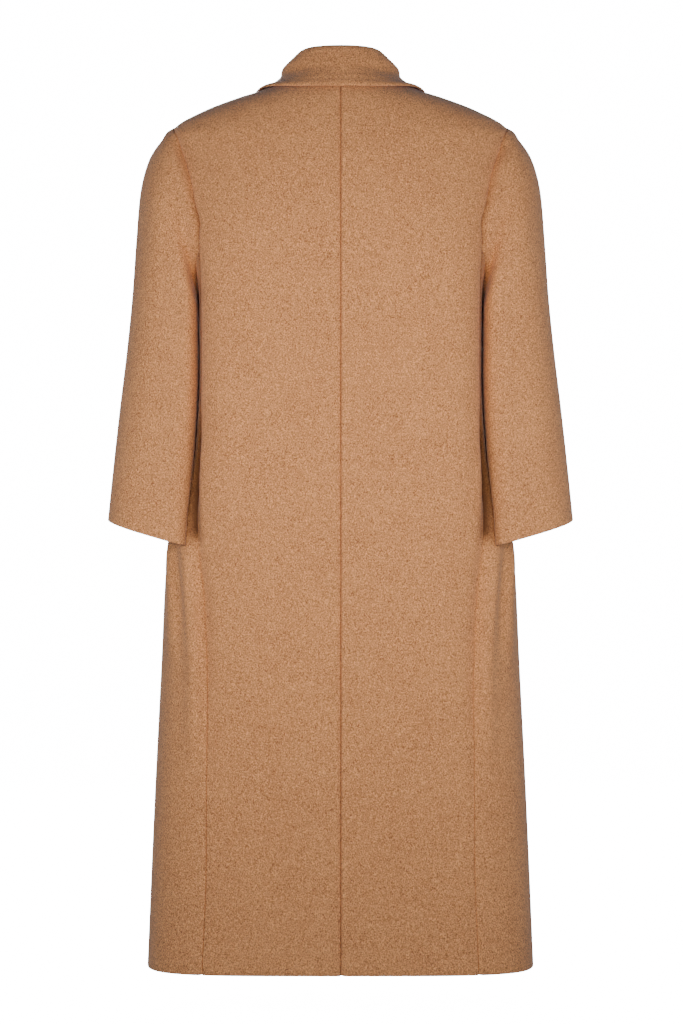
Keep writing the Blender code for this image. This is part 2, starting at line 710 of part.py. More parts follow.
def button(name, z, material):
    """A flat round button with a raised lip, on the right front's centre line."""
    place = on_body(1.0, z)
    axis = outward(place)
    back = place + axis * (right_front_lift(OVERLAP, z) + BUTTON_OFF_CLOTH)
    up = np.array([0.0, 0.0, 1.0])
    up -= axis * np.dot(up, axis)
    up /= np.linalg.norm(up)
    across = np.cross(up, axis)
    profile = (
        (BUTTON_RADIUS - BUTTON_DISH, 0.0),
        (BUTTON_RADIUS, BUTTON_THICK / 2),
        (BUTTON_RADIUS - BUTTON_DISH / 2, BUTTON_THICK),
        (BUTTON_RADIUS - BUTTON_LIP, BUTTON_THICK),
        (BUTTON_RADIUS - BUTTON_LIP - BUTTON_DISH, BUTTON_THICK - BUTTON_DISH),
    )
    mesh = bmesh.new()
    rings = []
    for radius, high in profile:
        ring = []
        for n in range(BUTTON_SEGMENTS):
            turn = 2 * math.pi * n / BUTTON_SEGMENTS
            spoke = up * math.cos(turn) + across * math.sin(turn)
            ring.append(mesh.verts.new(back + axis * high + radius * spoke))
        rings.append(ring)
    for low, high in zip(rings, rings[1:]):
        for n in range(BUTTON_SEGMENTS):
            m = (n + 1) % BUTTON_SEGMENTS
            mesh.faces.new((low[n], low[m], high[m], high[n]))
    mesh.faces.new(rings[0])
    mesh.faces.new(rings[-1])
    return finished(name, mesh, material)


def build():
    for thing in list(bpy.data.objects):
        bpy.data.objects.remove(thing)
    for word, side in (("left", 1), ("right", -1)):
        for piece, make in (
            ("back", back_panel),
            ("side", side_panel),
            ("front", front_panel),
            ("sleeve", sleeve),
            ("lapel", lapel),
        ):
            name = f"{piece}_{word}"
            make(name, side, finish_material(f"{name}_wool", CAMEL_WOOL, WOOL_ROUGHNESS))
    collar("collar", finish_material("collar_wool", CAMEL_WOOL, WOOL_ROUGHNESS))
    for n, z in enumerate(BUTTON_HEIGHTS, start=1):
        button(f"button_{n}", z, finish_material(f"button_{n}_horn", BROWN_BUTTON, BUTTON_ROUGHNESS))


build()
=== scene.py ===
"""Long camel wool coat kept in its worn form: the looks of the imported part.

Frame: metres, +Z up; the back of the coat faces +Y and the wearer's left is +X. Each cloth piece is a fine
thin shell on its solid's own form, with the seams, rolled edges and soft creases shaped into it.
"""

import logging
import math
from collections import namedtuple
from dataclasses import dataclass, field, replace
from enum import Enum
from functools import lru_cache
from typing import Any, Sequence

import bmesh
import bpy
import numpy as np
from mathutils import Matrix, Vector


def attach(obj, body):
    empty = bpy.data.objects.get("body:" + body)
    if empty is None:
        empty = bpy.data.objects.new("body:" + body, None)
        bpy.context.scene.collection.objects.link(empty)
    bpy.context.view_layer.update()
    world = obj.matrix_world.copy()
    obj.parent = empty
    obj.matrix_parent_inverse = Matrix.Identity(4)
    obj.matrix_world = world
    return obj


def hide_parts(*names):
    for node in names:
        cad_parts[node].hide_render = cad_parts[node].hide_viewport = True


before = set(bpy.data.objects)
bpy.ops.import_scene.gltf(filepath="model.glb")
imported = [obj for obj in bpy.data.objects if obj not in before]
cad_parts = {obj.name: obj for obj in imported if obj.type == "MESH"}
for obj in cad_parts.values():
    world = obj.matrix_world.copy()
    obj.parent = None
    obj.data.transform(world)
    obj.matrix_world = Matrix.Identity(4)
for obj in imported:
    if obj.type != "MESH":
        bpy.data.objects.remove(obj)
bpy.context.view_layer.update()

LOG = logging.getLogger("coat")
BODY_NAME = "root"
# Name of the point attribute that carries painted shade: how much the colour is darkened in tight folds and
# crevices.
PAINTED_SHADE = "painted_shade"
MM = 0.001


class Side(Enum):
    """Half of the coat, by the sign of its distance across."""

    LEFT = 1
    RIGHT = -1


class Facing(Enum):
    """Which face of a sleeve a crease lies on, by the sign of its depth."""

    BACK = 1
    FRONT = -1


class Slot(Enum):
    """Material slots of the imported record."""

    WOOL = "camel_wool"
    BUTTON = "brown_button"


class Hold(Enum):
    """How a cloth piece is held."""

    HUNG = "hung"
    FOLDED = "folded"


def smooth_ramp(t: np.ndarray) -> np.ndarray:
    """A soft step from 0 to 1 while t goes from 0 to 1."""
    t = np.clip(t, 0.0, 1.0)
    return t * t * (3 - 2 * t)


def soft_bump(t: np.ndarray) -> np.ndarray:
    """A soft bump: 1 where t is 0, and 0 from t = 1 on."""
    return np.clip(1 - np.asarray(t) ** 2, 0.0, 1.0) ** 2


def unit(vectors: np.ndarray) -> np.ndarray:
    """The vectors at length 1."""
    return vectors / np.maximum(np.linalg.norm(vectors, axis=-1, keepdims=True), 1e-12)


def cubic_slopes(places: np.ndarray, values: np.ndarray) -> np.ndarray:
    """Slopes of a cubic that passes through rows and never swings past them.

    Args:
        places: Where the rows stand, rising.
        values: One row of values for each place.

    Returns:
        The slope of each value at each place.
    """
    secants = np.diff(values, axis=0) / np.diff(places)[:, None]
    slopes = np.zeros_like(values)
    slopes[0] = secants[0]
    slopes[-1] = secants[-1]
    product = secants[:-1] * secants[1:]
    total = np.where(product > 0, secants[:-1] + secants[1:], 1.0)
    slopes[1:-1] = np.where(product > 0, 2 * product / total, 0.0)
    return slopes


class Table:
    """Rows of named columns, read at any place of the first column."""

    def __init__(self, columns: Sequence[str], rows: Sequence[Sequence[float]]) -> None:
        """Keeps the rows; columns names them, the place first."""
        data = np.array(rows, float)
        self.row = namedtuple("Row", columns[1:])
        self.places = data[:, 0]
        self.values = data[:, 1:]
        self.slopes = cubic_slopes(self.places, self.values)

    def read(self, place: np.ndarray | float) -> np.ndarray:
        """Reads the rows between their places.

        Args:
            place: One place or an array of them.

        Returns:
            The values, with the columns on the last axis.
        """
        place = np.clip(np.asarray(place, float), self.places[0], self.places[-1])
        k = np.clip(np.searchsorted(self.places, place) - 1, 0, len(self.places) - 2)
        step = self.places[k + 1] - self.places[k]
        t = (place - self.places[k]) / step
        values = ((1 + 2 * t) * (1 - t) ** 2, t * t * (3 - 2 * t))
        weights = values + (t * (1 - t) ** 2 * step, t * t * (t - 1) * step)
        ends = (self.values[k], self.values[k + 1], self.slopes[k], self.slopes[k + 1])
        return sum(w[..., None] * e for w, e in zip(weights, ends))

    def at(self, place: np.ndarray | float) -> Any:
        """The named columns at one place or an array of places."""
        return self.row(*np.moveaxis(self.read(place), -1, 0))


@dataclass(frozen=True)
class CoatLines:
    """Heights and layer sizes that the pieces share, in metres."""

    cloth: float = 0.0030
    seam_gap: float = 0.0003
    armhole_gap: float = 0.0007
    layer_gap: float = 0.0012
    collar_gap: float = 0.0005
    hem: float = -1.200
    break_point: float = -0.360
    panel_top: float = -0.235
    underarm: float = -0.300
    underarm_roundness: float = 2.3
    shoulder_point: float = -0.0615
    neck_seam: float = 0.0
    overlap: float = 0.045
    roll_top_x: float = 0.078
    lift_full: float = 0.098
    lift_none: float = 0.190
    fold_fade: float = 0.30
    lap_depth: float = 0.0036
    lap_rise: float = 0.0011
    lap_cloth: float = 0.0014
    lap_run: float = 0.0050


LINES = CoatLines()

BODY = Table(
    ("height", "half_width", "side_y", "back_y", "front_y", "back_square", "front_square"),
    (
        (-1.200, 0.2620, -0.008, 0.151, -0.172, 4.30, 3.20),
        (-1.000, 0.2540, -0.008, 0.142, -0.168, 3.90, 3.10),
        (-0.800, 0.2445, -0.008, 0.132, -0.163, 3.60, 3.00),
        (-0.632, 0.2355, -0.009, 0.125, -0.160, 3.60, 3.00),
        (-0.560, 0.2090, -0.010, 0.122, -0.159, 5.20, 3.10),
        (-0.500, 0.1960, -0.012, 0.120, -0.158, 6.60, 3.20),
        (-0.400, 0.1905, -0.015, 0.118, -0.160, 7.00, 3.20),
        (-0.300, 0.1915, -0.015, 0.119, -0.163, 6.50, 3.00),
        (-0.235, 0.2030, -0.012, 0.1205, -0.158, 5.00, 2.70),
        (-0.200, 0.2150, -0.008, 0.120, -0.152, 3.70, 2.50),
        (-0.120, 0.2330, -0.004, 0.112, -0.126, 2.60, 2.40),
        (-0.078, 0.2375, 0.000, 0.103, -0.104, 2.40, 2.30),
        (-0.0615, 0.2250, 0.000, 0.098, -0.094, 2.35, 2.25),
        (-0.040, 0.1860, 0.000, 0.0915, -0.082, 2.25, 2.20),
        (-0.0236, 0.1432, 0.000, 0.0845, -0.072, 2.15, 2.10),
        (-0.014, 0.1130, 0.000, 0.078, -0.065, 2.10, 2.05),
        (0.000, 0.0800, 0.000, 0.066, -0.055, 2.00, 2.00),
        (0.050, 0.0700, 0.000, 0.058, -0.050, 2.00, 2.00),
    ),
)

SIDE_BACK = Table(
    ("height", "across"),
    (
        (-1.200, 0.1830),
        (-1.050, 0.1780),
        (-0.850, 0.1780),
        (-0.710, 0.1835),
        (-0.630, 0.1925),
        (-0.560, 0.1965),
        (-0.480, 0.1905),
        (-0.400, 0.1878),
        (-0.310, 0.1880),
        (-0.270, 0.1885),
        (-0.235, 0.1900),
    ),
)

SIDE_FRONT = Table(
    ("height", "depth"),
    (
        (-1.200, -0.062),
        (-0.800, -0.072),
        (-0.500, -0.080),
        (-0.235, -0.082),
    ),
)
ARMHOLE = Table(
    ("height", "back_depth", "front_depth"),
    (
        (-0.235, 0.0908, -0.082),
        (-0.205, 0.0904, -0.081),
        (-0.167, 0.0795, -0.079),
        (-0.140, 0.0715, -0.072),
        (-0.106, 0.0578, -0.056),
        (-0.078, 0.0460, -0.040),
        (-0.0665, 0.0250, -0.021),
        (-0.0615, 0.0000, 0.000),
    ),
)
RIGHT_LIFT = Table(
    ("height", "lift"),
    (
        (-1.200, 0.0045),
        (-0.460, 0.0048),
        (-0.370, 0.0094),
        (-0.230, 0.0094),
        (-0.140, 0.0020),
        (-0.080, 0.0000),
        (0.000, 0.0000),
    ),
)
LOWER_ROWS = (-1.200, -1.13, -1.05, -0.96, -0.87, -0.78, -0.70, -0.63, -0.56, -0.49, -0.42,
              -0.360, -0.31, -0.27, -0.235)
ARMHOLE_ROWS = (-0.235, -0.205, -0.175, -0.145, -0.118, -0.094, -0.076, -0.066, -0.0615)
SHOULDER_ROWS = (-0.0615, -0.049, -0.038, -0.028, -0.019, -0.011, -0.004, 0.0)


def between(rows: Sequence[float], steps: int) -> np.ndarray:
    """Every span of the rows cut into equal steps.

    Args:
        rows: Places that stay in.
        steps: Steps in each span.

    Returns:
        The finer places.
    """
    at = np.linspace(0, len(rows) - 1, (len(rows) - 1) * steps + 1)
    return np.interp(at, np.arange(len(rows)), rows)


def edge_places(count: int, width: float, near: Sequence[float]) -> np.ndarray:
    """Shares across a panel, closer together beside its two seams.

    Args:
        count: Even steps across.
        width: The panel's usual width in metres.
        near: Distances from each seam, in metres, that get a column of their own.

    Returns:
        Rising shares from 0 to 1.
    """
    close = np.array(near) / width
    even = np.linspace(0, 1, count + 1)
    clear = close[-1] + 0.4 / count
    even = even[(even > clear) & (even < 1 - clear)]
    return np.concatenate([[0.0], close, even, 1 - close[::-1], [1.0]])


NEAR_SEAM = (0.0007, 0.0015, 0.0025, 0.0038, 0.0055, 0.0080)
LAP_PLACES = (-0.0080, -0.0040, -0.0008)


@dataclass(frozen=True)
class Crease:
    """A soft ridge or trough along a straight line on a piece.

    Attributes:
        start: Where it starts: distance across and height, in metres.
        end: Where it ends.
        reach: Half its width.
        rise: How far it stands out; a trough is negative.
        fade: Share of its length over which each end dies away.
    """

    start: tuple[float, float]
    end: tuple[float, float]
    reach: float
    rise: float
    fade: float = 0.35

    def lift(self, across: np.ndarray, height: np.ndarray) -> np.ndarray:
        """How far it moves points of the piece.

        Args:
            across: Distances across.
            height: Heights.

        Returns:
            Distances to move outwards.
        """
        run = np.subtract(self.end, self.start)
        length = math.hypot(*run)
        from_x = across - self.start[0]
        from_z = height - self.start[1]
        t = (from_x * run[0] + from_z * run[1]) / length**2
        away = np.abs(from_x * run[1] - from_z * run[0]) / length
        ends = smooth_ramp(t / self.fade) * smooth_ramp((1 - t) / self.fade)
        return self.rise * soft_bump(away / self.reach) * ends


def seam_trough(distance: np.ndarray, depth: float, width: float) -> np.ndarray:
    """How far cloth rolls down into a seam.

    Args:
        distance: Distances from the seam.
        depth: Depth at the seam.
        width: Distance over which it dies away.

    Returns:
        Distances to move outwards, all negative or 0.
    """
    return -depth * np.exp(-((distance / width) ** 2))


def lap_lift(distance: np.ndarray) -> np.ndarray:
    """How far cloth dips at a seam where it runs on under its neighbour.

    Args:
        distance: Distances from the seam, below 0 under the neighbour.

    Returns:
        Distances to move outwards, all negative or 0.
    """
    return -LINES.lap_depth * (1 - smooth_ramp(distance / LINES.lap_rise))


def lap_cloth(distance: np.ndarray) -> np.ndarray:
    """Thickness of cloth that runs on under its neighbour, thinner beside the seam."""
    full = smooth_ramp((distance - LINES.lap_rise / 2) / LINES.lap_run)
    return LINES.lap_cloth + (LINES.cloth - LINES.lap_cloth) * full


@dataclass(frozen=True)
class Outline:
    """Half a section of the body, from the centre back to the centre front."""

    points: np.ndarray
    shares: np.ndarray
    girth: float
    corner: int


class BodyForm:
    """The body's form: a rounded oblong section at each height, and the lines of the cut on it."""

    steps = 900
    slope_reach = 0.0006
    press_rounds = 6

    @lru_cache(maxsize=None)
    def outline(self, z: float) -> Outline:
        """The half section at one height."""
        s = BODY.at(z)
        turn = np.linspace(0, math.pi / 2, self.steps + 1)
        sine = np.sin(turn)
        cosine = np.maximum(np.cos(turn), 0)
        back = 2 / s.back_square
        front = 2 / s.front_square
        back_x = s.half_width * sine**back
        back_y = s.side_y + (s.back_y - s.side_y) * cosine**back
        front_x = (s.half_width * sine**front)[::-1]
        front_y = (s.side_y + (s.front_y - s.side_y) * cosine**front)[::-1]
        points = np.column_stack([np.append(back_x, front_x[1:]), np.append(back_y, front_y[1:])])
        along = np.append(0, np.cumsum(np.linalg.norm(np.diff(points, axis=0), axis=1)))
        return Outline(points, along / along[-1], float(along[-1]), self.steps)

    def share_of_back_x(self, x: float, z: float) -> float:
        """Girth share of the back point at a distance across."""
        o = self.outline(z)
        return float(np.interp(x, o.points[: o.corner + 1, 0], o.shares[: o.corner + 1]))

    def share_of_depth(self, y: float, z: float) -> float:
        """Girth share of the point at a depth."""
        o = self.outline(z)
        return float(np.interp(-y, -o.points[:, 1], o.shares))

    def share_of_front_x(self, x: float, z: float) -> float:
        """Girth share of the front point at a distance across; past the centre front it goes on over 1."""
        o = self.outline(z)
        share = float(np.interp(-abs(x), -o.points[o.corner :, 0], o.shares[o.corner :]))
        return share if x >= 0 else 2 - share

    def roll_x(self, z: float) -> float:
        """Distance across of the left front's roll line."""
        climb = (z - LINES.break_point) / (LINES.neck_seam - LINES.break_point)
        return -LINES.overlap + climb * (LINES.roll_top_x + LINES.overlap)

    def back_outer(self, z: float) -> float:
        """The back panel's outer edge: side seam, then armhole, then shoulder seam."""
        if z <= LINES.panel_top:
            return self.share_of_back_x(float(SIDE_BACK.at(z).across), z)
        if z < LINES.shoulder_point:
            return self.share_of_depth(float(ARMHOLE.at(z).back_depth), z)
        o = self.outline(z)
        return float(o.shares[o.corner])

    def front_outer(self, z: float) -> float:
        """The front panel's outer edge: side seam, then armhole, then shoulder seam."""
        if z <= LINES.panel_top:
            return self.share_of_depth(float(SIDE_FRONT.at(z).depth), z)
        if z < LINES.shoulder_point:
            return self.share_of_depth(float(ARMHOLE.at(z).front_depth), z)
        o = self.outline(z)
        return float(o.shares[o.corner])

    def front_edge(self, z: float) -> float:
        """The front panel's free edge: the closing edge, then the roll line."""
        across = -LINES.overlap if z <= LINES.break_point else self.roll_x(z)
        return self.share_of_front_x(across, z)

    def points(self, shares: np.ndarray, heights: np.ndarray) -> np.ndarray:
        """Points of the left half of the body.

        Args:
            shares: Girth shares; below 0 is past the centre back and over 1 past the centre front.
            heights: Their heights, alike in shape.

        Returns:
            The points, with three numbers on the last axis.
        """
        found = np.zeros(shares.shape + (3,))
        for z in np.unique(heights):
            here = heights == z
            share = shares[here]
            o = self.outline(float(z))
            folded = np.abs(np.where(share <= 1, share, 2 - share))
            half = np.where((share >= 0) & (share <= 1), 1, -1)
            found[here, 0] = half * np.interp(folded, o.shares, o.points[:, 0])
            found[here, 1] = np.interp(folded, o.shares, o.points[:, 1])
            found[here, 2] = z
        return found

    def level(self, points: np.ndarray) -> np.ndarray:
        """How far out points lie: 1 on the body's surface, more outside it."""
        s = BODY.at(points[..., 2])
        behind = points[..., 1] > s.side_y
        depth = np.where(behind, s.back_y - s.side_y, s.side_y - s.front_y)
        square = np.where(behind, s.back_square, s.front_square)
        wide = (np.abs(points[..., 0]) / s.half_width) ** square
        deep = (np.abs(points[..., 1] - s.side_y) / depth) ** square
        return (wide + deep) ** (1 / square)

    def slope(self, points: np.ndarray) -> np.ndarray:
        """Slope of the level, which points straight out of the body."""
        found = np.zeros_like(points)
        for axis in range(3):
            step = np.zeros(3)
            step[axis] = self.slope_reach
            change = self.level(points + step) - self.level(points - step)
            found[..., axis] = change / (2 * self.slope_reach)
        return found

    def outward(self, points: np.ndarray) -> np.ndarray:
        """Directions straight out of the body."""
        return unit(self.slope(points))

    def pressed_off(self, points: np.ndarray, clearance: np.ndarray | float) -> np.ndarray:
        """Points, moved straight out where they lie nearer the body than a clearance.

        Args:
            points: The points.
            clearance: The clearance, one for all or one each.

        Returns:
            The moved points.
        """
        for _ in range(self.press_rounds):
            slope = self.slope(points)
            steep = np.linalg.norm(slope, axis=-1)
            away = (self.level(points) - 1) / steep
            short = np.maximum(clearance - away, 0.0)
            points = points + slope / steep[..., None] * short[..., None]
        return points

    def front_point(self, x: float, z: float, lift: float) -> np.ndarray:
        """Point of the left front at a distance across and a height, moved out by a lift."""
        share = np.array([self.share_of_front_x(x, z)])
        point = self.points(share, np.array([z]))
        return (point + self.outward(point) * lift)[0]

    def right_front_lift(self, from_edge: np.ndarray, z: np.ndarray) -> np.ndarray:
        """How far the right front stands off the body at distances from its free edge."""
        fall = smooth_ramp((LINES.lift_none - from_edge) / (LINES.lift_none - LINES.lift_full))
        return RIGHT_LIFT.at(z).lift * fall


FORM = BodyForm()


@dataclass
class Skin:
    """The shown face of a cloth piece, as a grid of points.

    Attributes:
        points: Rows by columns of points.
        towards: Rough directions out of the face, alike in shape or one for all.
        closed: Whether the last column joins the first.
        free_rows: How free the first and the last row are: 1 for a cut or turned edge, 0 for a seam.
        free_columns: The same for the first and the last column, as one number or one for each row.
        cloth: The cloth's thickness, as one number or one for each point.
        painted_shade: How much painted shade darkens the colour in tight folds and crevices, standing in for
        their shadow, as one number or one for each point: 0 on open cloth, 1 in a fold, more in the
        deepest shade behind the cuff.
    """

    points: np.ndarray
    towards: np.ndarray
    closed: bool = False
    free_rows: tuple[float, float] = (0.0, 0.0)
    free_columns: tuple[Any, Any] = (0.0, 0.0)
    cloth: Any = LINES.cloth
    painted_shade: Any = 0.0

    def outward(self) -> np.ndarray:
        """Directions straight out of the face."""
        along = np.gradient(self.points, axis=0)
        if self.closed:
            across = np.roll(self.points, -1, axis=1) - np.roll(self.points, 1, axis=1)
        else:
            across = np.gradient(self.points, axis=1)
        out = unit(np.cross(across, along))
        return out * np.sign(np.sum(out * self.towards))

    def moved(self, lift: np.ndarray) -> "Skin":
        """The same face with its points moved outwards by a lift."""
        return replace(self, points=self.points + self.outward() * lift[..., None])

    def mirrored(self, side: Side) -> "Skin":
        """The same face on the other half of the coat for the right side."""
        flip = np.array([side.value, 1.0, 1.0])
        return replace(self, points=self.points * flip, towards=self.towards * flip)


class Shell:
    """A thin closed shell between a shown face and the one behind it, with round free edges."""

    rim_steps = 4

    def __init__(self, skin: Skin) -> None:
        """Works out the shell's points and faces."""
        out = skin.outward()
        thick = np.broadcast_to(np.asarray(skin.cloth, float), skin.points.shape[:2])[..., None]
        hidden = skin.points - out * thick
        rows, columns = skin.points.shape[:2]
        size = rows * columns
        shown = np.arange(size).reshape(rows, columns)
        turned = self.face_turn(skin, out)
        faces = [self.quads(shown, skin.closed, turned), self.quads(shown + size, skin.closed, -turned)]
        points = [skin.points.reshape(-1, 3), hidden.reshape(-1, 3)]
        edge, bulge = self.edge_directions(skin, out)
        # Painted shade for each point, also on the hidden face and the rim.
        nap_relief_and_painted_shade = np.broadcast_to(np.asarray(skin.painted_shade, float), skin.points.shape[:2]).ravel()
        painted_shade = [nap_relief_and_painted_shade, nap_relief_and_painted_shade]
        count = 2 * size
        for loop in self.loops(shown, skin.closed):
            front = skin.points.reshape(-1, 3)[loop]
            back = hidden.reshape(-1, 3)[loop]
            reach = edge.reshape(-1, 3)[loop] * bulge.reshape(-1, 1)[loop] * thick.reshape(-1, 1)[loop] / 2
            rings = [loop]
            for k in range(1, self.rim_steps):
                turn = math.pi * k / self.rim_steps
                half = (front - back) / 2
                points.append((front + back) / 2 + half * math.cos(turn) + reach * math.sin(turn))
                painted_shade.append(nap_relief_and_painted_shade[loop])
                rings.append(np.arange(count, count + len(loop)))
                count += len(loop)
            rings.append(loop + size)
            for first, second in zip(rings, rings[1:]):
                strip = np.stack([np.roll(first, -1), first, second, np.roll(second, -1)], axis=1)
                faces.append(strip if turned > 0 else strip[:, ::-1])
        self.points = np.concatenate(points)
        self.faces = np.concatenate(faces)
        self.painted_shade = np.concatenate(painted_shade)
        self.area = self.face_area(skin.points, skin.closed)

    @staticmethod
    def face_turn(skin: Skin, out: np.ndarray) -> int:
        """1 where the grid runs anticlockwise seen from outside, and -1 where it runs the other way."""
        along = np.gradient(skin.points, axis=0)[:, :-1]
        across = np.diff(skin.points, axis=1)
        return 1 if np.sum(np.cross(across, along) * out[:, :-1]) > 0 else -1

    @staticmethod
    def quads(index: np.ndarray, closed: bool, turned: int) -> np.ndarray:
        """The grid's faces.

        Args:
            index: The grid's point numbers.
            closed: Whether the last column joins the first.
            turned: 1 or -1, the way round.

        Returns:
            Four point numbers for each face.
        """
        wide = np.hstack([index, index[:, :1]]) if closed else index
        corners = (wide[:-1, :-1], wide[:-1, 1:], wide[1:, 1:], wide[1:, :-1])
        found = np.stack(corners, axis=-1).reshape(-1, 4)
        return found if turned > 0 else found[:, ::-1]

    @staticmethod
    def loops(index: np.ndarray, closed: bool) -> list[np.ndarray]:
        """The grid's border as closed runs of point numbers, anticlockwise."""
        if closed:
            return [index[0], index[-1][::-1]]
        return [np.concatenate([index[0], index[1:, -1], index[-1, -2::-1], index[-2:0:-1, 0]])]

    @staticmethod
    def edge_directions(skin: Skin, out: np.ndarray) -> tuple[np.ndarray, np.ndarray]:
        """Directions out past the border in the cloth, and how round the border is there."""
        edge = np.zeros_like(skin.points)
        bulge = np.zeros(skin.points.shape[:2])
        p = skin.points
        for row, inside, free in ((0, 1, skin.free_rows[0]), (-1, -2, skin.free_rows[1])):
            edge[row] += unit(p[row] - p[inside]) * free
            bulge[row] += free
        if not skin.closed:
            for column, inside, free in ((0, 1, skin.free_columns[0]), (-1, -2, skin.free_columns[1])):
                free = np.broadcast_to(np.asarray(free, float), p.shape[:1])
                edge[:, column] += unit(p[:, column] - p[:, inside]) * free[:, None]
                bulge[:, column] += free
        edge -= out * np.sum(edge * out, axis=-1, keepdims=True)
        return unit(edge), np.minimum(bulge, 1.0)

    @staticmethod
    def face_area(points: np.ndarray, closed: bool) -> float:
        """Area of the shown face in square metres."""
        wide = np.concatenate([points, points[:, :1]], axis=1) if closed else points
        a, b, c, d = wide[:-1, :-1], wide[:-1, 1:], wide[1:, 1:], wide[1:, :-1]
        return float(np.linalg.norm(np.cross(c - a, d - b), axis=-1).sum() / 2)

    def mesh(self, name: str) -> bpy.types.Mesh:
        """The shell as a smooth mesh."""
        data = bpy.data.meshes.new(name)
        data.from_pydata(self.points.tolist(), [], self.faces.tolist())
        data.polygons.foreach_set("use_smooth", [True] * len(data.polygons))
        # The painted shade goes on as a point attribute that the wool material reads.
        data.attributes.new(PAINTED_SHADE, "FLOAT", "POINT").data.foreach_set("value", self.painted_shade)
        data.update()
        return data


def place_piece(name: str, data: bpy.types.Mesh, material: bpy.types.Material) -> bpy.types.Object:
    """Adds a finished piece at the origin, riding on the coat.

    Args:
        name: The piece's name.
        data: Its mesh, with its place in it.
        material: Its finish.

    Returns:
        The piece.
    """
    data.materials.clear()
    data.materials.append(material)
    piece = bpy.data.objects.new(name, data)
    bpy.context.scene.collection.objects.link(piece)
    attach(piece, BODY_NAME)
    LOG.info("%s: %d faces", name, len(data.polygons))
    return piece


@dataclass
class ClothPiece:
    """A cut piece of cloth that stands for one solid of the part.

    Attributes:
        name: The solid's node.
        side: The half of the coat that it lies on.
        flat: Width and length of the cut.
        area: Area of the cut.
        rests_on: The pieces that hold it.
        held: How it is held.
        creases: Its soft ridges and troughs.
    """

    name: str
    side: Side
    flat: tuple[float, float]
    area: float
    rests_on: tuple[str, ...]
    held: Hold = Hold.HUNG
    creases: tuple[Crease, ...] = ()

    def skin(self) -> Skin:
        """The shown face on the left half of the coat."""
        raise NotImplementedError

    def build(self, material: bpy.types.Material) -> bpy.types.Object:
        """Makes the piece in place of its solid.

        Args:
            material: Its finish.

        Returns:
            The piece.
        """
        shell = Shell(self.skin().mirrored(self.side))
        piece = place_piece(f"{self.name}_cloth", shell.mesh(f"{self.name}_cloth"), material)
        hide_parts(self.name)
        LOG.info("%s: shown area %.4f m2 of a cut of %.4f m2", self.name, shell.area, self.area)
        return piece

    def declare(self, piece: bpy.types.Object, pieces_on_it: Sequence[bpy.types.Object] = ()) -> None:
        """Does nothing: neither the cut nor what is sewn on it is stated here."""

    def crease_lift(self, across: np.ndarray, height: np.ndarray) -> np.ndarray:
        """All the creases' lift at distances across and heights."""
        total = np.zeros_like(across)
        for crease in self.creases:
            total += crease.lift(across, height)
        return total


def row_distances(points: np.ndarray) -> np.ndarray:
    """Distance of each point of a grid from its row's first point."""
    steps = np.linalg.norm(np.diff(points, axis=1), axis=2)
    return np.concatenate([np.zeros((len(points), 1)), np.cumsum(steps, axis=1)], axis=1)


def from_axis(points: np.ndarray) -> np.ndarray:
    """Rough directions out of the body: away from its upright middle line."""
    return unit(points * np.array([1.0, 1.0, 0.0]))


@dataclass
class PanelSeams:
    """How deep and how wide the cloth rolls down into a panel's seams.

    Attributes:
        valleys: Top, bottom, depth, width and fade of each valley that hangs along the side back seam: the
            deep one that the cuff shades, and the soft one below the cuff.
        painted_shade_top: Height where the painted shade beside the seam starts.
        painted_shade_low: Height where it ends, at the cuff.
        painted_shade_width: Distance from the seam that it covers.
        painted_shade_fade_in: Height over which it comes in.
        painted_shade_fade_out: Height over which it dies away.
    """

    inner_depth: float = 0.0016
    inner_width: float = 0.0024
    side_depth: float = 0.0012
    side_width: float = 0.0060
    armhole_depth: float = 0.0018
    armhole_width: float = 0.0040
    valleys: tuple[tuple[float, ...], ...] = (
        (-0.430, -0.660, 0.0090, 0.0080, 0.45),
        (-0.560, -1.000, 0.0055, 0.0105, 0.30),
    )
    # Painted shade beside the side back seam, in the valley under the sleeve.
    painted_shade_top: float = -0.400
    painted_shade_low: float = -0.640
    painted_shade_width: float = 0.0085
    painted_shade_fade_in: float = 0.08
    painted_shade_fade_out: float = 0.03

    def painted_shade(self, distance: np.ndarray, height: np.ndarray) -> np.ndarray:
        """How much painted shade darkens the colour in the deep valley that the sleeve shades."""
        window = smooth_ramp((self.painted_shade_top - height) / self.painted_shade_fade_in)
        window *= smooth_ramp((height - self.painted_shade_low) / self.painted_shade_fade_out)
        return window * np.exp(-((distance / self.painted_shade_width) ** 4))

    def valley(self, distance: np.ndarray, height: np.ndarray) -> np.ndarray:
        """How far the cloth sinks into the valleys at distances from the side back seam."""
        total = np.zeros_like(height)
        for top, bottom, depth, width, fade in self.valleys:
            down = (top - height) / (top - bottom)
            ends = smooth_ramp(down / fade) * smooth_ramp((1 - down) / (1 - fade))
            total += ends * seam_trough(distance, depth, width)
        return total


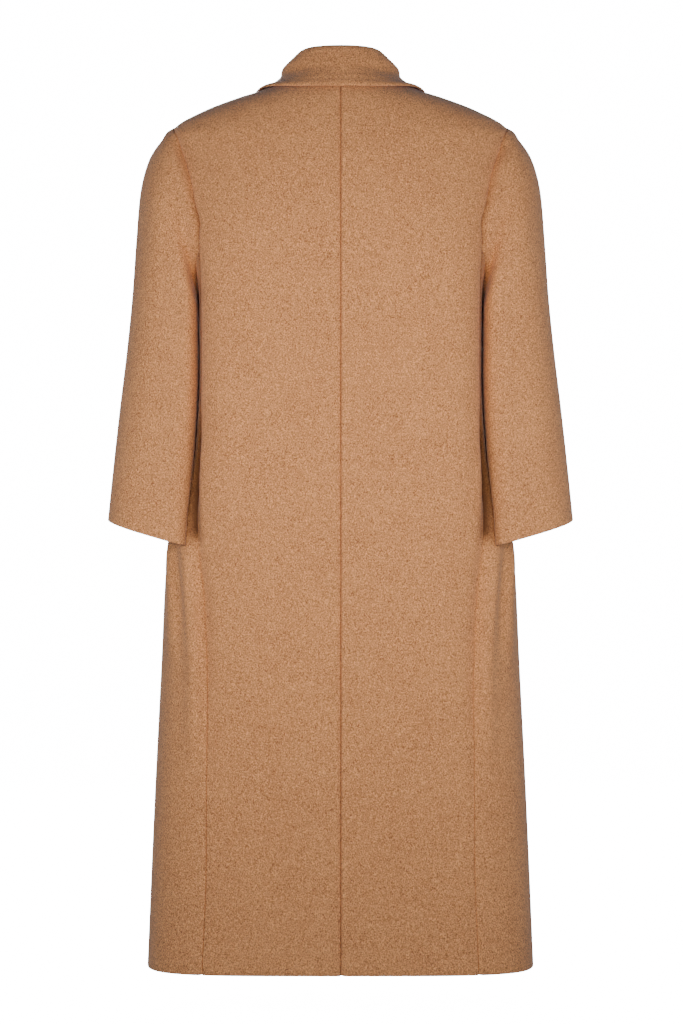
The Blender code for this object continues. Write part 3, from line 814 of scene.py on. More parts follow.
@dataclass
class BackPanel(ClothPiece):
    """A back panel, from the centre back seam to the side seam, armhole and shoulder seam.

    Attributes:
        press_place: Distance from the armhole of the faint line that the turned-in seam presses through
            the cloth.
    """

    columns: int = 40
    usual_width: float = 0.190
    lower_steps: int = 18
    armhole_steps: int = 7
    shoulder_steps: int = 8
    press_place: float = 0.0075
    press_reach: float = 0.0030
    press_depth: float = 0.0006
    press_top: float = -0.080
    crown_low: float = -0.095
    crown_share: float = 0.80
    seams: PanelSeams = field(default_factory=PanelSeams)

    def skin(self) -> Skin:
        """The shown face, with its seams and creases."""
        heights = np.concatenate([
            between(LOWER_ROWS, self.lower_steps),
            between(ARMHOLE_ROWS, self.armhole_steps)[1:],
            between(SHOULDER_ROWS, self.shoulder_steps)[1:],
        ])
        places = edge_places(self.columns, self.usual_width, NEAR_SEAM)
        laps = np.array(LAP_PLACES if self.side is Side.RIGHT else ())
        shares = []
        for z in heights:
            girth = FORM.outline(float(z)).girth
            gap = LINES.seam_gap / 2 / girth
            panel = gap + places * (FORM.back_outer(float(z)) - 2 * gap)
            shares.append(np.concatenate([gap + laps / girth, panel]))
        grid = np.repeat(heights[:, None], len(places) + len(laps), axis=1)
        points = FORM.points(np.array(shares), grid)
        across = row_distances(points)
        across -= across[:, len(laps)][:, None]
        to_side = across[:, -1:] - across
        armhole = smooth_ramp((grid - LINES.panel_top) / 0.03)
        lift = (1 - armhole) * seam_trough(to_side, self.seams.side_depth, self.seams.side_width)
        lift += self.seams.valley(to_side, grid)
        crown = smooth_ramp((grid - self.crown_low) / (LINES.shoulder_point - self.crown_low))
        dip = armhole * (1 - self.crown_share * crown)
        lift += dip * seam_trough(to_side, self.seams.armhole_depth, self.seams.armhole_width)
        pressed = armhole * smooth_ramp((self.press_top - grid) / 0.04)
        lift -= self.press_depth * pressed * soft_bump((to_side - self.press_place) / self.press_reach)
        lift += self.crease_lift(across, grid)
        # Painted shade beside the side back seam, in the valley that the sleeve shades.
        painted_shade = self.seams.painted_shade(to_side, grid)
        skin = Skin(points, from_axis(points), free_rows=(1.0, 0.0), painted_shade=painted_shade)
        if self.side is Side.RIGHT:
            skin = replace(skin, cloth=lap_cloth(across))
            lift += lap_lift(across)
        return skin.moved(lift + seam_trough(across, self.seams.inner_depth, self.seams.inner_width))


@dataclass
class SidePanel(ClothPiece):
    """An underarm panel between the side back and the side front seams.

    Attributes:
        folds: The soft hanging folds that the solid has too.
        shaded: Width of the strip beside the side back seam that gets painted shade under the sleeve.
        shaded_more: How much darker the painted shade on the strip is behind the cuff, as a share.
        shaded_from: Height where that starts.
        shaded_fade: Height over which it comes in.
    """

    shaded: float = 0.030
    shaded_more: float = 0.75
    shaded_from: float = -0.440
    shaded_fade: float = 0.06
    columns: int = 36
    usual_width: float = 0.165
    lower_steps: int = 16
    seams: PanelSeams = field(default_factory=PanelSeams)
    folds: tuple[tuple[float, ...], ...] = (
        (-0.600, -0.960, 0.024, 0.019, 0.019, 0.0045),
        (-0.600, -0.820, 0.066, 0.056, 0.022, 0.0035),
    )

    def top(self, share: np.ndarray) -> np.ndarray:
        """Height of the top edge, which rounds under the arm."""
        climb = np.minimum(np.abs(2 * share - 1), 1.0) ** LINES.underarm_roundness
        return LINES.underarm + (LINES.panel_top - LINES.underarm) * climb

    def grid(self, places: np.ndarray, steps: np.ndarray) -> tuple[np.ndarray, np.ndarray, np.ndarray]:
        """Girth shares, heights and distances from the side back seam.

        Args:
            places: Shares across the panel.
            steps: Shares up the panel.

        Returns:
            The three grids.
        """
        heights = LINES.hem + steps[:, None] * (self.top(places)[None, :] - LINES.hem)
        shares = np.zeros_like(heights)
        from_seam = np.zeros_like(heights)
        for k in np.ndindex(heights.shape):
            z = float(heights[k])
            girth = FORM.outline(z).girth
            gap = LINES.seam_gap / 2 / girth
            start = FORM.back_outer(z)
            shares[k] = start + gap + places[k[1]] * (FORM.front_outer(z) - start - 2 * gap)
            from_seam[k] = (shares[k] - start) * girth
        return shares, heights, from_seam

    def fold_lift(self, from_seam: np.ndarray, z: np.ndarray) -> np.ndarray:
        """How far the soft folds stand out."""
        total = np.zeros_like(z)
        for top, bottom, top_place, bottom_place, reach, rise in self.folds:
            down = (top - z) / (top - bottom)
            middle = top_place + down * (bottom_place - top_place)
            near = smooth_ramp(1 - np.abs(from_seam - middle) / reach)
            fade = smooth_ramp(down / LINES.fold_fade) * smooth_ramp((1 - down) / LINES.fold_fade)
            total += rise * near * fade
        return total

    def skin(self) -> Skin:
        """The shown face, with its seams, folds and creases."""
        rows = between(LOWER_ROWS, self.lower_steps)
        steps = (rows - LINES.hem) / (LINES.panel_top - LINES.hem)
        laps = np.array(LAP_PLACES) / self.usual_width
        inside = edge_places(self.columns, self.usual_width, NEAR_SEAM)
        places = np.concatenate([laps, inside, 1 - laps[::-1]])
        shares, heights, from_seam = self.grid(places, steps)
        points = FORM.points(shares, heights)
        across = row_distances(points)
        lift = self.fold_lift(from_seam, heights) + self.crease_lift(from_seam, heights)
        cloth = np.full(heights.shape, LINES.cloth)
        first = across - across[:, len(laps)][:, None]
        last = across[:, -1 - len(laps)][:, None] - across
        lift += self.seams.valley(first, heights)
        for distance in (first, last):
            lift += lap_lift(distance) + seam_trough(distance, self.seams.side_depth, self.seams.side_width)
            cloth = np.minimum(cloth, lap_cloth(distance))
        # Painted shade on the strip beside the side back seam under the sleeve, darker behind the cuff.
        under_arm = smooth_ramp((heights - self.seams.painted_shade_low) / self.seams.painted_shade_fade_out)
        more = 1 + self.shaded_more * smooth_ramp((self.shaded_from - heights) / self.shaded_fade)
        painted_shade = under_arm * more * smooth_ramp((self.shaded - first) / self.shaded)
        return Skin(points, from_axis(points), free_rows=(1.0, 0.0), cloth=cloth, painted_shade=painted_shade).moved(lift)


@dataclass
class FrontPanel(ClothPiece):
    """A front, from the side seam to the closing edge; the right one lies over the left one."""

    columns: int = 52
    usual_width: float = 0.260
    lower_steps: int = 14
    armhole_steps: int = 6
    shoulder_steps: int = 7
    seams: PanelSeams = field(default_factory=PanelSeams)

    def skin(self) -> Skin:
        """The shown face, with its seams and creases."""
        heights = np.concatenate([
            between(LOWER_ROWS, self.lower_steps),
            between(ARMHOLE_ROWS, self.armhole_steps)[1:],
            between(SHOULDER_ROWS, self.shoulder_steps)[1:],
        ])
        places = edge_places(self.columns, self.usual_width, NEAR_SEAM)
        shares = []
        girths = []
        for z in heights:
            girth = FORM.outline(float(z)).girth
            start = FORM.front_outer(float(z)) + LINES.seam_gap / 2 / girth
            shares.append(start + places * (FORM.front_edge(float(z)) - start))
            girths.append(girth)
        shares = np.array(shares)
        grid = np.repeat(heights[:, None], len(places), axis=1)
        points = FORM.points(shares, grid)
        across = row_distances(points)
        from_edge = (shares[:, -1:] - shares) * np.array(girths)[:, None]
        armhole = smooth_ramp((grid - LINES.panel_top) / 0.03)
        lift = (1 - armhole) * seam_trough(across, self.seams.side_depth, self.seams.side_width)
        lift += armhole * seam_trough(across, self.seams.armhole_depth, self.seams.armhole_width)
        lift += self.crease_lift(from_edge, grid)
        if self.side is Side.RIGHT:
            lift += FORM.right_front_lift(from_edge, grid)
        edge_free = (heights <= LINES.break_point).astype(float)
        free = {"free_rows": (1.0, 0.0), "free_columns": (0.0, edge_free)}
        return Skin(points, from_axis(points), **free).moved(lift)


@dataclass(frozen=True)
class SleeveCrease:
    """A crease on one face of a sleeve, placed by its distance across and its height."""

    facing: Facing
    crease: Crease


@dataclass
class Sleeve(ClothPiece):
    """A set-in sleeve: rings that fan about the underarm, from the armhole to the open cuff.

    Attributes:
        ring_rows: Inner and outer point, depth of the middle, half depth, skew, squareness of the inner half
            and drop of each ring.
        outer_square: Squareness of every ring's outer half.
        ring_steps: Fine rings in each span.
        head_rise: How far the sleeve head stands up beside the armhole seam.
        head_place: Where it stands highest, from the seam.
        head_reach: Half its width.
        tuck_depth: How far the sleeve sinks beside the lower half of the back armhole seam.
        tuck_width: Distance over which that dies away.
        tuck_top: Height on the seam where the sinking starts.
        tuck_full: Height where it is full.
        tuck_low: Height where it ends.
        tuck_fade: Height over which it ends.
        painted_shade_width: Distance from the armhole seam that gets painted shade there.
        painted_shade_reach: Distance off the body within which the sleeve gets painted shade.
        painted_shade_low_reach: The same beside the cuff.
        painted_shade_wider: Height where the one starts to pass into the other.
        painted_shade_widening: Height over which it passes.
        painted_shade_start: Height where the painted shade off the body starts.
        painted_shade_fade: Height over which it comes in.
    """

    ring_rows: tuple[tuple[float, ...], ...] = (
        (0.1935, -0.3006, 0.2400, -0.0750, 0.000, 0.084, 0.004, 2.6, 0.0),
        (0.1935, -0.3025, 0.2615, -0.1055, 0.002, 0.085, 0.008, 3.4, 0.0),
        (0.1930, -0.3060, 0.2742, -0.1545, 0.005, 0.083, 0.010, 4.2, 0.0),
        (0.1920, -0.3120, 0.2795, -0.2210, 0.009, 0.079, 0.010, 4.4, 0.0),
        (0.1915, -0.3280, 0.2845, -0.2950, 0.013, 0.075, 0.010, 4.4, 0.0),
        (0.1910, -0.3920, 0.2918, -0.3700, 0.018, 0.071, 0.010, 4.2, 0.0),
        (0.1925, -0.4720, 0.3010, -0.4500, 0.026, 0.067, 0.010, 4.0, 0.0),
        (0.1965, -0.5570, 0.3090, -0.5280, 0.036, 0.062, 0.010, 3.8, 0.002),
        (0.2020, -0.6300, 0.3155, -0.5975, 0.046, 0.059, 0.010, 3.6, 0.004),
    )
    outer_square: float = 2.4
    ring_steps: tuple[int, ...] = (16, 10, 10, 14, 14, 14, 14, 14, 14)
    armhole_steps: int = 5
    under_columns: int = 40
    clear: float = 0.0026
    clear_start: float = 0.0007
    clear_run: float = 0.030
    clear_spare: float = 0.0002
    crown_share: float = 0.80
    crown_start: float = 0.80
    head_rise: float = 0.0022
    head_place: float = 0.012
    head_reach: float = 0.013
    tuck_depth: float = 0.0035
    tuck_width: float = 0.0060
    tuck_top: float = -0.130
    tuck_full: float = -0.200
    tuck_low: float = -0.250
    tuck_fade: float = 0.03
    # Painted shade beside the lower back armhole seam and where the sleeve hangs close to the body.
    painted_shade_width: float = 0.0046
    painted_shade_reach: float = 0.0042
    painted_shade_low_reach: float = 0.0100
    painted_shade_wider: float = -0.440
    painted_shade_widening: float = 0.08
    painted_shade_start: float = -0.215
    painted_shade_fade: float = 0.05
    sleeve_creases: tuple[SleeveCrease, ...] = ()

    def armhole_ring(self) -> tuple[np.ndarray, int]:
        """The armhole's edge points, from the shoulder point down the back and up the front.

        Returns:
            The points, and the number of the lowest one.
        """
        rows = between(ARMHOLE_ROWS, self.armhole_steps)
        under = np.linspace(0, 1, self.under_columns + 1)
        side = SidePanel("", Side.LEFT, self.flat, self.area, ())
        shares, heights, _ = side.grid(under, np.array([1.0]))
        edge = [FORM.back_outer(float(z)) for z in rows[::-1]]
        edge += list(shares[0, 1:-1])
        edge += [FORM.front_outer(float(z)) for z in rows[:-1]]
        levels = np.concatenate([rows[::-1], heights[0, 1:-1], rows[:-1]])
        return FORM.points(np.array(edge), levels), len(rows) - 1 + self.under_columns // 2

    @staticmethod
    def turns(ring: np.ndarray, low: int) -> np.ndarray:
        """Each armhole point's angle: 0 at the shoulder point, half a turn at the underarm."""
        closed = np.vstack([ring, ring[:1]])
        along = np.append(0, np.cumsum(np.linalg.norm(np.diff(closed, axis=0), axis=1)))
        places = along[:-1]
        back = math.pi * places / along[low]
        front = math.pi + math.pi * (places - along[low]) / (along[-1] - along[low])
        return np.where(places <= along[low], back, front)

    def ring(self, row: Sequence[float], turns: np.ndarray) -> np.ndarray:
        """Points of one ring at the given angles."""
        inner_x, inner_z, outer_x, outer_z, middle_y, half_depth, skew, inner_square, rear_drop = row
        inner = np.array([inner_x, 0, inner_z])
        outer = np.array([outer_x, 0, outer_z])
        square = np.where(np.cos(turns) < 0, inner_square, self.outer_square)
        reach = np.sign(np.cos(turns)) * np.abs(np.cos(turns)) ** (2 / square)
        rear = np.sign(np.sin(turns)) * np.abs(np.sin(turns)) ** (2 / square)
        points = (inner + outer) / 2 + reach[:, None] * (outer - inner) / 2
        points[:, 1] = middle_y + half_depth * rear - skew * reach
        points[:, 2] -= rear_drop * rear
        return points

    def skin(self) -> Skin:
        """The shown face, with the sleeve head, the armhole seam and the creases."""
        armhole, low = self.armhole_ring()
        turns = self.turns(armhole, low)
        rings = np.array([armhole] + [self.ring(row, turns) for row in self.ring_rows])
        places = np.arange(len(rings), dtype=float)
        names = ["place"] + [f"v{n}" for n in range(armhole.size)]
        table = Table(names, np.column_stack([places, rings.reshape(len(rings), -1)]))
        at = np.concatenate([k + np.arange(n) / n for k, n in enumerate(self.ring_steps)] + [places[-1:]])
        points = table.read(at).reshape(len(at), -1, 3)
        down = np.concatenate([np.zeros((1, points.shape[1])),
                               np.cumsum(np.linalg.norm(np.diff(points, axis=0), axis=2), axis=0)])
        clearance = self.clear_start + (self.clear - self.clear_start) * smooth_ramp(down / self.clear_run)
        points[1:] = FORM.pressed_off(points[1:], clearance[1:])
        points[0] += unit(points[1] - points[0]) * LINES.armhole_gap
        middles = points.mean(axis=1, keepdims=True)
        skin = Skin(points, unit(points - middles), closed=True, free_rows=(0.0, 1.0), cloth=lap_cloth(down))
        upper = smooth_ramp((np.cos(turns) + 0.75) / 0.9)[None, :]
        lift = upper * self.head_rise * soft_bump((down - self.head_place) / self.head_reach)
        facing = skin.outward()[..., 1]
        for placed in self.sleeve_creases:
            turned = smooth_ramp(placed.facing.value * facing / 0.35)
            lift += turned * placed.crease.lift(points[..., 0], points[..., 2])
        moved = skin.moved(lift).points
        moved[1:] = FORM.pressed_off(moved[1:], clearance[1:] - self.clear_spare)
        body_out = FORM.outward(armhole)
        crown = self.crown_share * smooth_ramp((np.cos(turns) - self.crown_start) / (1 - self.crown_start))
        tucked = smooth_ramp((self.tuck_top - armhole[:, 2]) / (self.tuck_top - self.tuck_full))
        tucked *= smooth_ramp((armhole[:, 2] - self.tuck_low) / self.tuck_fade)
        sunk = lap_lift(down) * (1 - crown) + tucked * seam_trough(down, self.tuck_depth, self.tuck_width)
        moved += sunk[..., None] * body_out
        # Painted shade beside the lower back armhole seam and where the sleeve hangs close to the body.
        painted_shade = np.maximum(tucked * np.exp(-((down / self.painted_shade_width) ** 2)), self.painted_shade_inside(moved))
        return self.with_lap(replace(skin, points=moved, painted_shade=painted_shade), armhole, body_out)

    def painted_shade_inside(self, points: np.ndarray) -> np.ndarray:
        """How much painted shade darkens the colour where the sleeve hangs close to the body."""
        steep = np.linalg.norm(FORM.slope(points), axis=-1)
        away = (FORM.level(points) - 1) / steep
        lower = smooth_ramp((self.painted_shade_wider - points[..., 2]) / self.painted_shade_widening)
        reach = self.painted_shade_reach + (self.painted_shade_low_reach - self.painted_shade_reach) * lower
        below = smooth_ramp((self.painted_shade_start - points[..., 2]) / self.painted_shade_fade)
        return below * np.exp(-((away / reach) ** 2))

    def with_lap(self, skin: Skin, armhole: np.ndarray, body_out: np.ndarray) -> Skin:
        """The face with rows added that run on under the panels round the armhole.

        Args:
            skin: The face from the armhole to the cuff.
            armhole: The armhole's edge points.
            body_out: Directions out of the body there.

        Returns:
            The longer face.
        """
        round_it = np.roll(armhole, -1, axis=0) - np.roll(armhole, 1, axis=0)
        inwards = unit(np.cross(round_it, body_out))
        inwards *= np.sign(np.sum(inwards * (armhole - skin.points[-1].mean(axis=0))))
        sunk = armhole - body_out * LINES.lap_depth
        laps = np.array([sunk - inwards * place for place in LAP_PLACES])
        towards = np.broadcast_to(body_out, laps.shape)
        cloth = np.full(laps.shape[:2], LINES.lap_cloth)
        # The lap rows under the panels take the first row's painted shade.
        painted_shade = np.repeat(skin.painted_shade[:1], len(laps), axis=0)
        return replace(skin, points=np.concatenate([laps, skin.points]),
                       towards=np.concatenate([towards, skin.towards]),
                       cloth=np.concatenate([cloth, skin.cloth]),
                       painted_shade=np.concatenate([painted_shade, skin.painted_shade]))


def through_points(grid: np.ndarray, steps: int) -> np.ndarray:
    """A smooth curve through the rows of a grid, with more rows.

    Args:
        grid: Rows of points.
        steps: New rows for each span.

    Returns:
        The finer grid, the old rows among it.
    """
    before = np.concatenate([2 * grid[:1] - grid[1:2], grid[:-1]])
    after = np.concatenate([grid[1:], 2 * grid[-1:] - grid[-2:-1]])
    slopes = (after - before) / 2
    found = []
    for k in range(len(grid) - 1):
        for n in range(steps):
            t = n / steps
            found.append((1 + 2 * t) * (1 - t) ** 2 * grid[k] + t * t * (3 - 2 * t) * grid[k + 1]
                         + t * (1 - t) ** 2 * slopes[k] + t * t * (t - 1) * slopes[k + 1])
    found.append(grid[-1])
    return np.array(found)


@dataclass
class Collar(ClothPiece):
    """The folded collar: a stand that rises from the neck seam, a fold, and a fall to the rolled edge.

    Attributes:
        rows: By length of the neck seam from the centre back: stand, lean, and a point of the fall and
            the edge.
        pressed_rise: Height of the faint pressed line above the edge.
        pressed_place: Its distance from the edge.
        roll_extra: How much thicker the rolled edge is than one layer.
    """

    rows: tuple[tuple[float, ...], ...] = (
        (0.000, 0.0386, 0.0022, 0.0000, 0.0740, 0.0115, 0.0000, 0.0865, -0.0138),
        (0.041, 0.0386, 0.0026, 0.0380, 0.0640, 0.0115, 0.0560, 0.0775, -0.0136),
        (0.079, 0.0376, -0.0010, 0.0690, 0.0365, 0.0090, 0.0955, 0.0475, -0.0118),
        (0.115, 0.0290, -0.0092, 0.0805, 0.0000, 0.0050, 0.1120, 0.0000, -0.0085),
        (0.156, 0.0170, -0.0030, 0.0870, -0.0400, -0.0050, 0.1190, -0.0400, -0.0240),
        (0.186, 0.0110, 0.0020, 0.0890, -0.0680, -0.0280, 0.1230, -0.0690, -0.0500),
    )
    end_stand: float = 0.0075
    end_lean: float = 0.0030
    end_fall_share: float = 0.50
    collar_point: tuple[float, float] = (0.122, -0.083)
    fold_radius: float = 0.0060
    middle: tuple[float, float, float] = (0.0, 0.0, 0.060)
    crown: int = 3
    fall: int = 5
    evenings: int = 3
    ring_steps: int = 60
    back_steps: int = 9
    front_steps: int = 6
    reach: float = 0.002
    fine_along: int = 7
    fine_across: int = 6
    pressed_rise: float = 0.0005
    pressed_place: float = 0.0150
    pressed_reach: float = 0.0040
    roll_rise: float = 0.0010
    roll_reach: float = 0.0070

    def seam_line(self) -> tuple[np.ndarray, np.ndarray]:
        """The left half of the neck seam and the length along it: round the ring, then down the roll line."""
        start = FORM.share_of_front_x(LINES.roll_top_x, LINES.neck_seam)
        ring = FORM.points(np.linspace(0, start, self.ring_steps), np.full(self.ring_steps, LINES.neck_seam))
        heights = np.array(SHOULDER_ROWS[-2::-1])
        shares = np.array([FORM.share_of_front_x(FORM.roll_x(float(z)), float(z)) for z in heights])
        line = np.vstack([ring, FORM.points(shares, heights)])
        return line, np.append(0, np.cumsum(np.linalg.norm(np.diff(line, axis=0), axis=1)))

    def table(self, end: float) -> Table:
        """The rows with the front end added, whose fall lies on the front along the gorge line."""
        start = np.array([FORM.roll_x(LINES.shoulder_point), LINES.shoulder_point])
        point = np.array(self.collar_point)
        off = LINES.cloth + LINES.layer_gap
        fall = FORM.front_point(*(start + self.end_fall_share * (point - start)), off)
        edge = FORM.front_point(*point, off)
        columns = ("along", "stand", "lean", "fall_x", "fall_y", "fall_z", "edge_x", "edge_y", "edge_z")
        return Table(columns, self.rows + ((end, self.end_stand, self.end_lean, *fall, *edge),))

    def profile(self, table: Table, line: np.ndarray, places: np.ndarray, along: float) -> list[np.ndarray]:
        """The shown face at one station: up the stand, over the fold, down the fall to its edge."""
        row = table.at(along)
        fall = np.array([row.fall_x, row.fall_y, row.fall_z])
        edge = np.array([row.edge_x, row.edge_y, row.edge_z])
        ends = (along, along + self.reach, along - self.reach)
        seam, ahead, behind = (np.array([np.interp(a, places, line[:, k]) for k in range(3)]) for a in ends)
        out = FORM.outward(seam)
        tangent = np.array([1.0, 0.0, 0.0]) if along < self.reach else ahead - behind
        rise = unit(np.cross(tangent, out))
        rise = rise * np.sign(np.dot(rise, np.array(self.middle) - seam))
        fold = seam + rise * float(row.stand) + out * float(row.lean)
        foot = seam + rise * LINES.collar_gap - out * LINES.cloth
        neck_side = fold - out * self.fold_radius
        crown = fold + rise * self.fold_radius
        fall_side = fold + out * self.fold_radius
        return [foot, (foot + neck_side) / 2, neck_side, crown, fall_side, (fall_side + fall) / 2, fall,
                (fall + edge) / 2, edge]

    def skin(self) -> Skin:
        """The shown face from the right end round the back to the left end."""
        line, places = self.seam_line()
        table = self.table(float(places[-1]))
        corner = places[self.ring_steps - 1]
        back = np.linspace(0, corner, self.back_steps + 1)
        stations = np.append(back, np.linspace(corner, places[-1], self.front_steps + 1)[1:])
        half = np.array([self.profile(table, line, places, float(a)) for a in stations])
        flip = np.array([-1.0, 1.0, 1.0])
        for _ in range(self.evenings):
            before = np.vstack([half[1:2] * flip, half[:-2]])
            half[:-1, 1:] = (before + 2 * half[:-1] + half[1:])[:, 1:] / 4
        off = LINES.cloth + LINES.layer_gap
        half[:, self.fall :] = FORM.pressed_off(half[:, self.fall :], off)
        face = np.vstack([half[:0:-1] * flip, half])
        fine = through_points(face, self.fine_along)
        fine = through_points(fine.swapaxes(0, 1), self.fine_across).swapaxes(0, 1)
        lying = self.fall * self.fine_across
        fine[:, lying:] = FORM.pressed_off(fine[:, lying:], off)
        towards = np.zeros_like(fine)
        towards[:, self.crown * self.fine_across, 2] = 1.0
        skin = Skin(fine, towards, free_rows=(1.0, 1.0), free_columns=(0.0, 1.0))
        from_edge = row_distances(fine[:, ::-1])[:, ::-1]
        back_only = smooth_ramp((fine[..., 1] - 0.045) / 0.02)
        pressed = soft_bump((from_edge - self.pressed_place) / self.pressed_reach)
        lift = back_only * self.pressed_rise * pressed
        lift += self.roll_rise * soft_bump((from_edge - 0.6 * self.roll_reach) / self.roll_reach)
        return skin.moved(lift)


@dataclass
class Lapel(ClothPiece):
    """A notched lapel turned back on its front; its roll wraps round the front's edge.

    Attributes:
        tip: Distance across and height of its point.
        belly: How far its free edge bows out.
        notch_share: Where the notch stands along the gorge line.
        start: Where it starts above the break, as a share of the roll line.
    """

    tip: tuple[float, float] = (0.140, -0.122)
    collar_point: tuple[float, float] = (0.122, -0.083)
    belly: float = 0.007
    notch_share: float = 0.55
    start: float = 0.05
    gorge_gap: float = 0.0010
    rows: int = 84
    columns: int = 34
    wrap_steps: int = 8

    def outline(self, up: float, out: float) -> np.ndarray:
        """Distance across and height of a lapel point: up the roll line, and out to the free edge."""
        top_z = LINES.shoulder_point - self.gorge_gap
        share = self.start + (1 - self.start) * up
        z_roll = LINES.break_point + share * (top_z - LINES.break_point)
        roll = np.array([FORM.roll_x(z_roll), z_roll])
        begin = np.array([-LINES.overlap, LINES.break_point])
        tip = np.array(self.tip)
        run = tip - begin
        bow = np.array([run[1], -run[0]]) / np.linalg.norm(run) * self.belly
        edge = begin + share * run + math.sin(math.pi * share) * bow
        point = roll + out * (edge - roll)
        top = np.array([FORM.roll_x(top_z), top_z])
        notch = top + self.notch_share * (np.array(self.collar_point) - [0, self.gorge_gap] - top)
        if out <= self.notch_share:
            bent = top + out / self.notch_share * (notch - top)
        else:
            bent = notch + (out - self.notch_share) / (1 - self.notch_share) * (tip - notch)
        straight = top + out * (tip - top)
        return point + float(smooth_ramp(2 * up - 1)) * (bent - straight)

    def under_lift(self, x: float, z: float) -> float:
        """How far the front under the lapel stands off the body."""
        if self.side is Side.LEFT:
            return 0.0
        from_edge = (FORM.front_edge(z) - FORM.share_of_front_x(x, z)) * FORM.outline(z).girth
        return float(FORM.right_front_lift(from_edge, z))

    def skin(self) -> Skin:
        """The shown face: the wrap round the roll line, then the lapel out to its edge."""
        top = LINES.cloth + LINES.layer_gap
        radius = (top + LINES.cloth) / 2
        grid = np.zeros((self.rows + 1, self.columns + 1 + self.wrap_steps, 3))
        for i in range(self.rows + 1):
            flat = np.array([self.outline(i / self.rows, j / self.columns) for j in range(self.columns + 1)])
            for j, (x, z) in enumerate(flat):
                grid[i, j + self.wrap_steps] = FORM.front_point(x, z, self.under_lift(x, z) + top)
            x, z = flat[0]
            low = self.under_lift(x, z)
            edge = FORM.front_point(x, z, low + top - radius)
            out = unit(FORM.front_point(x, z, low + 1 * MM) - FORM.front_point(x, z, low))
            past = edge - FORM.front_point(*flat[1], low + top - radius)
            past = unit(past - out * np.dot(past, out))
            for k in range(self.wrap_steps):
                turn = math.pi * (1 - k / self.wrap_steps)
                grid[i, k] = edge + radius * (out * math.cos(turn) + past * math.sin(turn))
        towards = np.zeros_like(grid)
        towards[:, self.wrap_steps :] = (0.0, -1.0, 0.0)
        return Skin(grid, towards, free_rows=(1.0, 0.6), free_columns=(0.0, 1.0))


def hex_linear(code: str) -> tuple[float, float, float, float]:
    """An sRGB hex colour as linear red, green, blue and alpha.

    Args:
        code: Six hex digits after a number sign.

    Returns:
        Four numbers for a colour socket.
    """
    parts = [int(code[k : k + 2], 16) / 255 for k in (1, 3, 5)]
    red, green, blue = (c / 12.92 if c <= 0.04045 else ((c + 0.055) / 1.055) ** 2.4 for c in parts)
    return red, green, blue, 1.0


def per_mm(size: float) -> float:
    """A texture's scale, in repeats a metre, for features of this many millimetres."""
    return 1000.0 / size


def add_node(tree: bpy.types.NodeTree, kind: str, settings: dict[str, Any] | None = None,
             inputs: dict[Any, Any] | None = None) -> bpy.types.Node:
    """Adds a node with its settings, values and links.

    Args:
        tree: The tree that gets it.
        kind: The node's type.
        settings: Values of its own properties.
        inputs: For each input by name or number, a value or the socket that feeds it.

    Returns:
        The node.
    """
    node = tree.nodes.new(kind)
    for key, value in (settings or {}).items():
        setattr(node, key, value)
    for key, value in (inputs or {}).items():
        if isinstance(value, bpy.types.NodeSocket):
            tree.links.new(value, node.inputs[key])
        else:
            node.inputs[key].default_value = value
    return node


def new_material(name: str) -> tuple[bpy.types.Material, bpy.types.NodeTree, bpy.types.Node]:
    """A material with its tree and its one shader."""
    material = bpy.data.materials.new(name)
    material.use_nodes = True
    return material, material.node_tree, material.node_tree.nodes["Principled BSDF"]


